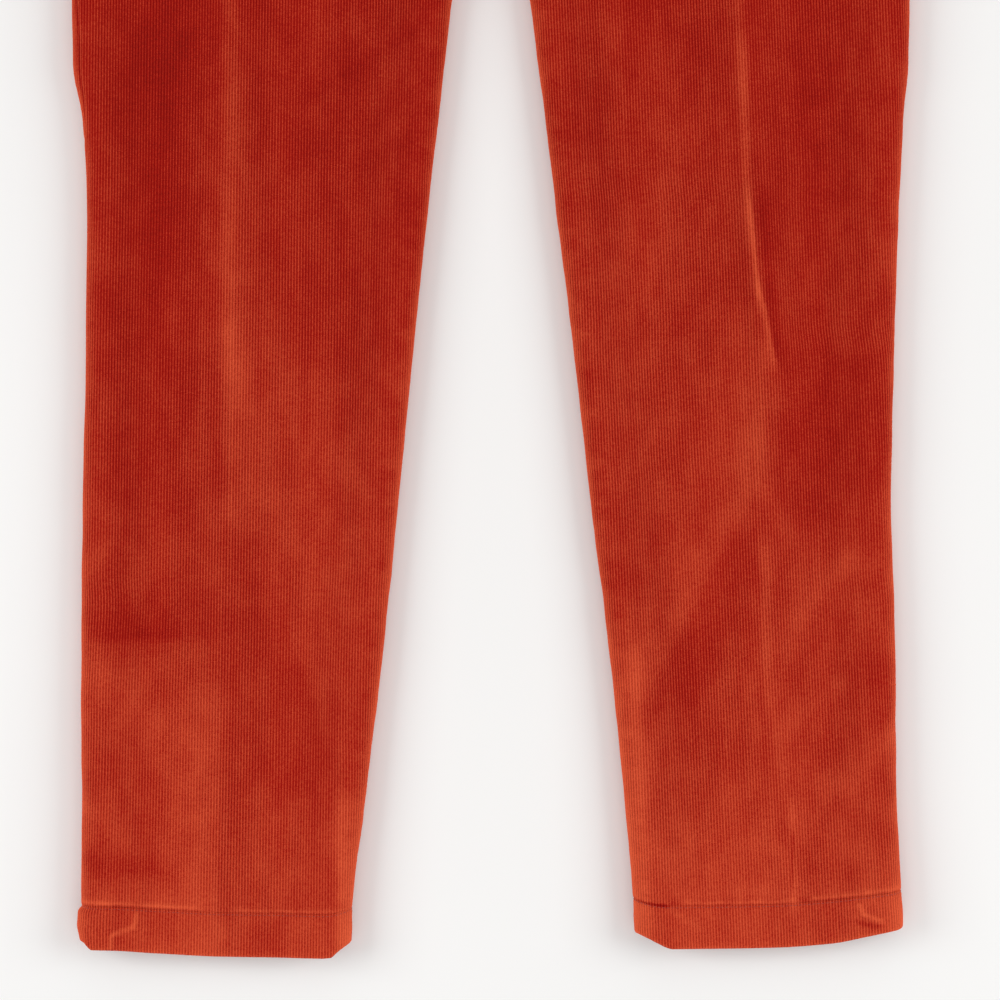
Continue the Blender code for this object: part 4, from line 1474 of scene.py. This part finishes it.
@dataclass
class Fly:
    """The fly's lap, with a round lower end and two rows of stitches that follow it."""

    name: str = "fly"

    def far_edge(self, height: float) -> float:
        """How far the lap reaches at this height."""
        rounded = min((height - FLY_BOTTOM) / FLY_ROUND, 1.0)
        return 0.006 + (FLY_WIDTH - 0.006) * math.sqrt(max(0.0, 1 - (1 - rounded) ** 2))

    def cut(self) -> Cut:
        """The flat shape."""
        heights = np.linspace(FLY_BOTTOM, WAIST_SEAM, 80)
        high = [self.far_edge(float(height)) + FLY_LAP for height in heights]
        return cut_between(np.zeros(len(heights)), high, heights)

    def build(self, finish: bpy.types.Material) -> bpy.types.Object:
        """Make the lap."""
        outer, inner = [], []
        turn = 1 - np.cos(np.linspace(0, math.pi / 2, 10))
        heights = np.concatenate([FLY_BOTTOM + FLY_ROUND * turn, np.linspace(0.842, WAIST_SEAM, 15)])
        for k, height in enumerate(heights):
            height = float(height)
            far = self.far_edge(height)
            grain = float(smooth(GRAIN, "left", height))
            across = CORDS.columns(-far + grain, FLY_LAP + grain)
            x = np.concatenate([[far], grain - across, [-FLY_LAP]])
            keys = np.concatenate([[-1.0], across, [1.0]])
            edge = np.minimum(far - x, x + FLY_LAP)
            rise = GAP + FLY_WALL - CORDS.depth_at(grain - x) - seam_dip(edge, 0.0004, 0.0012)
            rise = rise - seam_dip(height - FLY_BOTTOM, 0.0004, 0.0012)
            points = over_front(x, height, rise)
            uv = on_cloth(grain - x, height)
            # Painted sheen along the lap's edges, where the cloth turns.
            outer.append(Row(keys, points, uv, 0.08 * np.exp(-((edge / 0.002) ** 2)) - 0.12))
            if k % 3 == 0:
                plain = np.linspace(far, -FLY_LAP, 9)
                points = over_front(plain, height, GAP)
                inner.append(plain_row(points, on_cloth(grain - plain, height)))
        return lay(self.name, outer, inner, finish)

    def stitch_lines(self) -> list[Array]:
        """Two rows inside the lap's outer edge."""
        lines = []
        for inside in (0.0035, 0.0095):
            line = []
            for height in np.linspace(FLY_BOTTOM + 0.002 + inside * 0.6, WAIST_SEAM - 0.001, 60):
                x = np.array([self.far_edge(float(height)) - inside])
                line.append(over_front(x, float(height), GAP + FLY_WALL + THREAD_RISE)[0])
            lines.append(np.array(line))
        return lines


@dataclass
class Waistband:
    """Half the waistband, from its front end round the side to the centre back."""

    side: Side

    @property
    def name(self) -> str:
        """The name of the solid that the piece stands for."""
        return f"waistband_{self.side.word}"

    def row(self, height: float, depth: float) -> tuple[Array, Array]:
        """Points of one line along the band, at one depth, and their distance along it."""
        fore = Section(self.side, Face.FRONT, height, PROUD)
        rear = Section(self.side, Face.BACK, height, PROUD)
        parts = []
        if self.side is Side.LEFT:
            x = np.arange(-TAB_LENGTH, 0.0, BAND_STEP)
            parts.append(over_front(x, height, DOUBLED + GAP - depth, PROUD))
        places = np.concatenate(
            [
                np.arange(fore.length, fore.length - 0.012, -0.001),
                np.linspace(fore.length - 0.012, fore.arc, 40),
                np.linspace(fore.arc, 0.0, 9)[1:-1],
            ]
        )
        lift = 0.0
        if self.side is Side.LEFT:
            lift = (DOUBLED + GAP) * ease(1 - np.maximum(fore.out_of(places), 0.0) / TAB_RAMP)
        parts.append(fore.points(places, depth, lift))
        parts.append(rear.points(np.linspace(0.0, rear.arc, 8), depth))
        parts.append(rear.points(np.linspace(rear.arc, rear.length, 40)[1:], depth))
        points = np.concatenate(parts)
        run = np.linalg.norm(np.diff(points, axis=0), axis=1)
        return points, np.concatenate([[0.0], np.cumsum(run)])

    def cut(self) -> Cut:
        """The flat shape of the band's outer face."""
        run = float(self.row(WAIST_SEAM + WAISTBAND_DEPTH / 2, 0.0)[1][-1])
        depth = WAISTBAND_DEPTH - GAP
        return Cut(run, depth, run * depth)

    def build(self, finish: bpy.types.Material) -> bpy.types.Object:
        """Make this half of the band."""
        bottom, top = WAIST_SEAM + GAP, WAIST_SEAM + WAISTBAND_DEPTH
        inside = CORDS.columns(bottom, top)
        outer, inner = [], []
        for height in np.concatenate([[bottom], inside, [top]]):
            height = float(height)
            to_edge = min(height - bottom, top - height)
            turned = 0.0009 * (1 - math.sqrt(1 - (1 - min(to_edge / 0.0012, 1.0)) ** 2))
            depth = float(CORDS.depth_at(np.array([height]))[0]) * float(ease(to_edge / 0.0006))
            for line in (bottom + ROW_INSET, top - ROW_INSET):
                depth += 0.0003 * math.exp(-(((height - line) / 0.0009) ** 2))
            points, along = self.row(height, depth + turned)
            uv = on_cloth(along, height)
            # Painted sheen along the band's turned edges.
            tone = np.full(len(along), 0.12 * math.exp(-((to_edge / 0.0012) ** 2)) - 0.08)
            outer.append(Row(np.arange(float(len(along))), points, uv, tone))
        for height in (bottom, (bottom + top) / 2, top):
            depth = DOUBLED - 0.0009 * (height in (bottom, top))
            points, along = self.row(height, depth)
            inner.append(plain_row(points, on_cloth(along, height)))
        return lay(self.name, outer, inner, finish)

    def stitch_lines(self) -> list[Array]:
        """A row along each long edge of the band, and one across the end of the lap."""
        bottom = WAIST_SEAM + GAP + ROW_INSET
        top = WAIST_SEAM + WAISTBAND_DEPTH - ROW_INSET
        lines = [self.row(height, 0.0)[0][1:-1] for height in (bottom, top)]
        if self.side is Side.LEFT:
            x = np.array([-TAB_LENGTH + ROW_INSET])
            end = [over_front(x, h, DOUBLED + GAP, PROUD)[0] for h in np.linspace(bottom, top, 16)]
            lines.append(np.array(end))
        return lines


@dataclass
class BeltLoop:
    """A strip over the waistband, tacked at both ends."""

    name: str
    face: Face
    x: float

    path = (
        *((-0.0065, 0.0), (-0.0035, 0.0), (-0.001, 0.0), (0.0015, 0.4), (0.004, 1.0)),
        *((0.010, 1.0), (0.019, 1.0), (0.027, 1.0), (0.032, 1.0), (0.0345, 0.4), (0.037, 0.0)),
    )

    def cut(self) -> Cut:
        """The flat shape of the finished strip."""
        steps = np.diff(self.line(0.0, 0.0), axis=0)
        run = float(np.linalg.norm(steps, axis=1).sum())
        return Cut(LOOP_WIDTH, run, LOOP_WIDTH * run)

    def line(self, across: float, rise: float) -> Array:
        """Points along the loop.

        Args:
            across: The distance from the loop's middle.
            rise: The height over the loop's inner surface.

        Returns:
            One point for each station of the loop's path.
        """
        found = []
        for above_seam, slack in self.path:
            height = WAIST_SEAM + max(above_seam, GAP)
            at = self.x + across
            side = Side.LEFT if at > 0 else Side.RIGHT
            section = Section(side, self.face, height, PROUD)
            place = section.place_of(max(abs(at), GAP / 2))
            point = section.points(np.array([place]))[0]
            up = GAP + LOOP_SLACK * slack + rise
            shift = min(above_seam - GAP, 0.0)
            found.append((at, point[1] + shift, point[2] + self.face.value * up))
        return np.array(found)

    def build(self, finish: bpy.types.Material) -> bpy.types.Object:
        """Make the loop."""
        half = LOOP_WIDTH / 2
        inside = CORDS.columns(-half, half, 0.0005)
        outer, inner = [], []
        for across in np.concatenate([[-half], inside, [half]]):
            edge = half - abs(across)
            depth = float(CORDS.depth_at(np.array([across]))[0]) * float(ease(edge / 0.0006))
            depth += 0.0004 * math.exp(-((edge / 0.0006) ** 2))
            points = self.line(float(across), LOOP_WALL - depth)
            uv = np.stack([np.full(len(points), across), points[:, 1]], axis=1)
            outer.append(Row(np.arange(float(len(points))), points, uv, np.full(len(points), -0.04)))
        for across in (-half, 0.0, half):
            points = self.line(across, 0.0)
            uv = np.stack([np.full(len(points), across), points[:, 1]], axis=1)
            inner.append(plain_row(points, uv))
        return lay(self.name, outer, inner, finish)

    def stitch_lines(self) -> list[Array]:
        """A row inside each long edge."""
        rise = LOOP_WALL + THREAD_RISE
        return [self.line(across, rise)[1:-1] for across in (-0.0036, 0.0036)]

    def tack_lines(self) -> list[Array]:
        """The dense bars that hold the loop's ends."""
        bars = []
        for station in (1, -1):
            ends = [self.line(a, LOOP_WALL + 0.0001)[station] for a in (-0.0045, 0.0045)]
            bars.append(np.array(ends))
        return bars


# ---------------------------------------------------------------- stitching
class StitchMaker:
    """Geometry nodes that lay short thread stitches along curves."""

    def __init__(self, thread: bpy.types.Material) -> None:
        """Build the tree, which sets this thread on every stitch."""
        self.thread = thread
        self.tree = self._tree()

    def _tree(self) -> bpy.types.NodeTree:
        """The tree: points along the curve, a stitch on each, realised and given its thread."""
        tree = bpy.data.node_groups.new("stitching", "GeometryNodeTree")
        face = tree.interface
        face.new_socket("Geometry", in_out="INPUT", socket_type="NodeSocketGeometry")
        for name, value in (("Pitch", 0.003), ("Length", 0.0022), ("Thickness", 0.0005)):
            socket = face.new_socket(name, in_out="INPUT", socket_type="NodeSocketFloat")
            socket.default_value = value
        seed = face.new_socket("Seed", in_out="INPUT", socket_type="NodeSocketInt")
        seed.default_value = 4
        face.new_socket("Thread", in_out="INPUT", socket_type="NodeSocketMaterial")
        face.new_socket("Geometry", in_out="OUTPUT", socket_type="NodeSocketGeometry")
        n = Nodes(tree)
        given = tree.nodes.new("NodeGroupInput")
        out = tree.nodes.new("NodeGroupOutput")
        points = n.add(
            "GeometryNodeCurveToPoints",
            {"mode": "LENGTH"},
            Curve=given.outputs["Geometry"],
            Length=given.outputs["Pitch"],
        )
        aim = n.add(
            "FunctionNodeAlignRotationToVector", {"axis": "X"}, Vector=points.outputs["Tangent"]
        )
        wobble = n.add(
            "FunctionNodeRandomValue",
            {"data_type": "FLOAT_VECTOR"},
            i0=(-0.03, -0.03, -0.07),
            i1=(0.03, 0.03, 0.07),
            Seed=given.outputs["Seed"],
        )
        tilt = n.add("FunctionNodeEulerToRotation", i0=wobble.outputs[0])
        both = n.add("FunctionNodeRotateRotation", {"rotation_space": "LOCAL"})
        tree.links.new(aim.outputs[0], both.inputs[0])
        tree.links.new(tilt.outputs[0], both.inputs[1])
        ball = n.add("GeometryNodeMeshUVSphere", Segments=6, Rings=5, Radius=0.5)
        size = n.add(
            "ShaderNodeCombineXYZ",
            X=given.outputs["Length"],
            Y=given.outputs["Thickness"],
            Z=given.outputs["Thickness"],
        )
        stitch = n.add("GeometryNodeTransform", Geometry=ball.outputs["Mesh"])
        tree.links.new(size.outputs[0], stitch.inputs["Scale"])
        laid = n.add("GeometryNodeInstanceOnPoints")
        tree.links.new(points.outputs["Points"], laid.inputs["Points"])
        tree.links.new(stitch.outputs[0], laid.inputs["Instance"])
        tree.links.new(both.outputs[0], laid.inputs["Rotation"])
        real = n.add("GeometryNodeRealizeInstances")
        tree.links.new(laid.outputs[0], real.inputs[0])
        dressed = n.add("GeometryNodeSetMaterial", Geometry=real.outputs[0])
        tree.links.new(given.outputs["Thread"], dressed.inputs["Material"])
        tree.links.new(dressed.outputs[0], out.inputs[0])
        return tree

    def sew(
        self, name: str, lines: Sequence[Array], pitch: float = 0.003, length: float = 0.0022
    ) -> bpy.types.Object:
        """Lay stitches along lines.

        Args:
            name: The piece's name.
            lines: Lines of points on the cloth.
            pitch: The distance from one stitch to the next.
            length: The length of a stitch.

        Returns:
            The stitches as one mesh object.
        """
        curve = bpy.data.curves.new(name + "_path", "CURVE")
        curve.dimensions = "3D"
        for line in lines:
            spline = curve.splines.new("POLY")
            spline.points.add(len(line) - 1)
            flat = np.concatenate([line, np.ones((len(line), 1))], axis=1)
            spline.points.foreach_set("co", flat.astype(np.float32).ravel())
        path = bpy.data.objects.new(name + "_path", curve)
        bpy.context.scene.collection.objects.link(path)
        added = path.modifiers.new("stitching", "NODES")
        added.node_group = self.tree
        wanted = {"Pitch": pitch, "Length": length, "Thickness": 0.00045, "Thread": self.thread}
        for item in self.tree.interface.items_tree:
            if item.in_out == "INPUT" and item.name in wanted:
                added[item.identifier] = wanted[item.name]
        graph = bpy.context.evaluated_depsgraph_get()
        mesh = bpy.data.meshes.new_from_object(path.evaluated_get(graph), depsgraph=graph)
        path.modifiers.remove(added)
        bpy.data.objects.remove(path)
        mesh.shade_smooth()
        made = bpy.data.objects.new(name, mesh)
        bpy.context.scene.collection.objects.link(made)
        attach(made, "root")
        return made


def pocket_stitch_lines(side: Side) -> list[Array]:
    """Two rows along the slanted mouth, on the front panel."""
    lines = []
    for inside in (0.002, 0.008):
        line = []
        for height in np.linspace(POCKET_BOTTOM + 0.004, WAIST_SEAM - 0.001, 50):
            section = Section(side, Face.FRONT, float(height))
            place = section.place_of(pocket_line(float(height))) + inside
            line.append(section.points(np.array([place]), 0.0001)[0])
        lines.append(np.array(line))
    return lines


def button_thread(maker: StitchMaker) -> bpy.types.Object:
    """Two crossed stitches through the button's holes."""
    low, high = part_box("button")
    middle, top = (low + high) / 2, high.z - 0.0006
    reach = 0.0022 * math.cos(math.pi / 4)
    lines = []
    for sign in (-1, 1):
        ends = [(-reach, -sign * reach), (reach, sign * reach)]
        for shift in (-0.0003, 0.0003):
            lines.append(np.array([(middle.x + a + shift, middle.y + b, top) for a, b in ends]))
    return maker.sew("button_thread", lines, 0.0011, 0.0024)


# ---------------------------------------------------------------- the studio
@dataclass(frozen=True)
class Studio:
    """The pale floor, the soft lights and the camera straight above."""

    camera_height: float = 3.0
    view_width: float = 0.660
    view_x: float = 0.0059
    view_height: float = 0.3016
    edge_level: float = 0.012

    def floor(self, finish: bpy.types.Material) -> None:
        """A wide pale surface, just under the cloth."""
        mesh = bpy.data.meshes.new("floor")
        half, level = 6.0, -0.0004
        corners = [(-half, -half, level), (half, -half, level), (half, half, level)]
        mesh.from_pydata([*corners, (-half, half, level)], [], [(0, 1, 2, 3)])
        mesh.materials.append(finish)
        made = bpy.data.objects.new("floor", mesh)
        bpy.context.scene.collection.objects.link(made)

    def light(self, name: str, place: tuple, size: float, power: float, tint: tuple) -> None:
        """A square soft light aimed at the garment."""
        data = bpy.data.lights.new(name, "AREA")
        data.shape = "SQUARE"
        data.size = size
        data.energy = power
        data.color = tint
        made = bpy.data.objects.new(name, data)
        made.location = place
        aim = Vector((0.0, -0.2, 0.0)) - Vector(place)
        made.rotation_euler = aim.to_track_quat("-Z", "Y").to_euler()
        bpy.context.scene.collection.objects.link(made)

    def build(self, finish: bpy.types.Material) -> None:
        """Make the floor, the lights, the world and the camera."""
        self.floor(finish)
        self.light("left_soft", (-1.8, -0.15, 1.4), 1.3, 20.0, (1.0, 0.985, 0.97))
        self.light("right_soft", (1.8, -0.15, 1.4), 1.3, 20.0, (1.0, 0.985, 0.97))
        self.light("hem_soft", (0.1, -2.1, 1.5), 1.3, 8.0, (1.0, 0.98, 0.97))
        world = bpy.data.worlds.new("studio")
        world.use_nodes = True
        background = world.node_tree.nodes["Background"]
        background.inputs["Color"].default_value = (1.0, 0.985, 0.975, 1.0)
        background.inputs["Strength"].default_value = 0.53
        bpy.context.scene.world = world
        data = bpy.data.cameras.new("camera")
        data.sensor_width = 36.0
        data.lens = 36.0 * (self.camera_height - self.edge_level) / self.view_width
        data.clip_start, data.clip_end = 0.05, 50.0
        camera = bpy.data.objects.new("camera", data)
        camera.location = (self.view_x, self.view_height - LENGTH / 2, self.camera_height)
        bpy.context.scene.collection.objects.link(camera)
        bpy.context.scene.camera = camera
        bpy.context.scene.view_settings.view_transform = "Standard"


# ---------------------------------------------------------------- putting it together
def declare(
    made: bpy.types.Object, cut: Cut
) -> None:
    """Log what a sheet was cut to, and how many faces it has."""
    faces = len(made.data.polygons)
    LOG.info("%s: cut %.4f x %.4f m, %.5f m2, %d faces", made.name, *cut, faces)


def build_leg(side: Side, finishes: Finishes, sewing: StitchMaker) -> None:
    """Build one leg's cloth, with its hem, its pocket and its half of the waistband."""
    word = side.word
    back = Panel(side, Face.BACK)
    declare(back.build(finishes.cloth), back.cut())
    front = Panel(side, Face.FRONT)
    pocket = sewing.sew(f"pocket_stitches_{word}", pocket_stitch_lines(side))
    declare(front.build(finishes.cloth), front.cut())
    hem = Hem(side)
    row = sewing.sew(f"hem_stitches_{word}", hem.stitch_lines())
    declare(hem.build(finishes.cloth), hem.cut())
    facing = Facing(side)
    declare(facing.build(finishes.cloth), facing.cut())
    band = Waistband(side)
    rows = sewing.sew(f"waistband_stitches_{word}", band.stitch_lines())
    declare(band.build(finishes.band), band.cut())


def build_top(finishes: Finishes, sewing: StitchMaker) -> None:
    """Build the fly, the belt loops and the button's thread."""
    fly = Fly()
    rows = sewing.sew("fly_stitches", fly.stitch_lines())
    declare(fly.build(finishes.cloth), fly.cut())
    loops = (
        BeltLoop("belt_loop_front_right", Face.FRONT, -0.105),
        BeltLoop("belt_loop_front_left", Face.FRONT, 0.105),
        BeltLoop("belt_loop_back_right", Face.BACK, -0.125),
        BeltLoop("belt_loop_back_left", Face.BACK, 0.125),
        BeltLoop("belt_loop_back_centre", Face.BACK, 0.0),
    )
    for loop in loops:
        rows = sewing.sew(loop.name + "_stitches", loop.stitch_lines())
        tacks = sewing.sew(loop.name + "_tacks", loop.tack_lines(), 0.0007, 0.0022)
        declare(loop.build(finishes.cloth), loop.cut())
    button_thread(sewing)


def main() -> None:
    """Build the cloth, the stitching, the button and the studio."""
    logging.basicConfig(level=logging.INFO, format="%(message)s")
    finishes = Finishes.build()
    Studio().build(finishes.floor)
    sewing = StitchMaker(finishes.thread)
    for side in Side:
        build_leg(side, finishes, sewing)
    build_top(finishes, sewing)
    for node, finish in (("button", finishes.horn), ("zip", finishes.tape)):
        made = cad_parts[node]
        made.data.materials.clear()
        made.data.materials.append(finish)


if __name__ == "__main__":
    main()
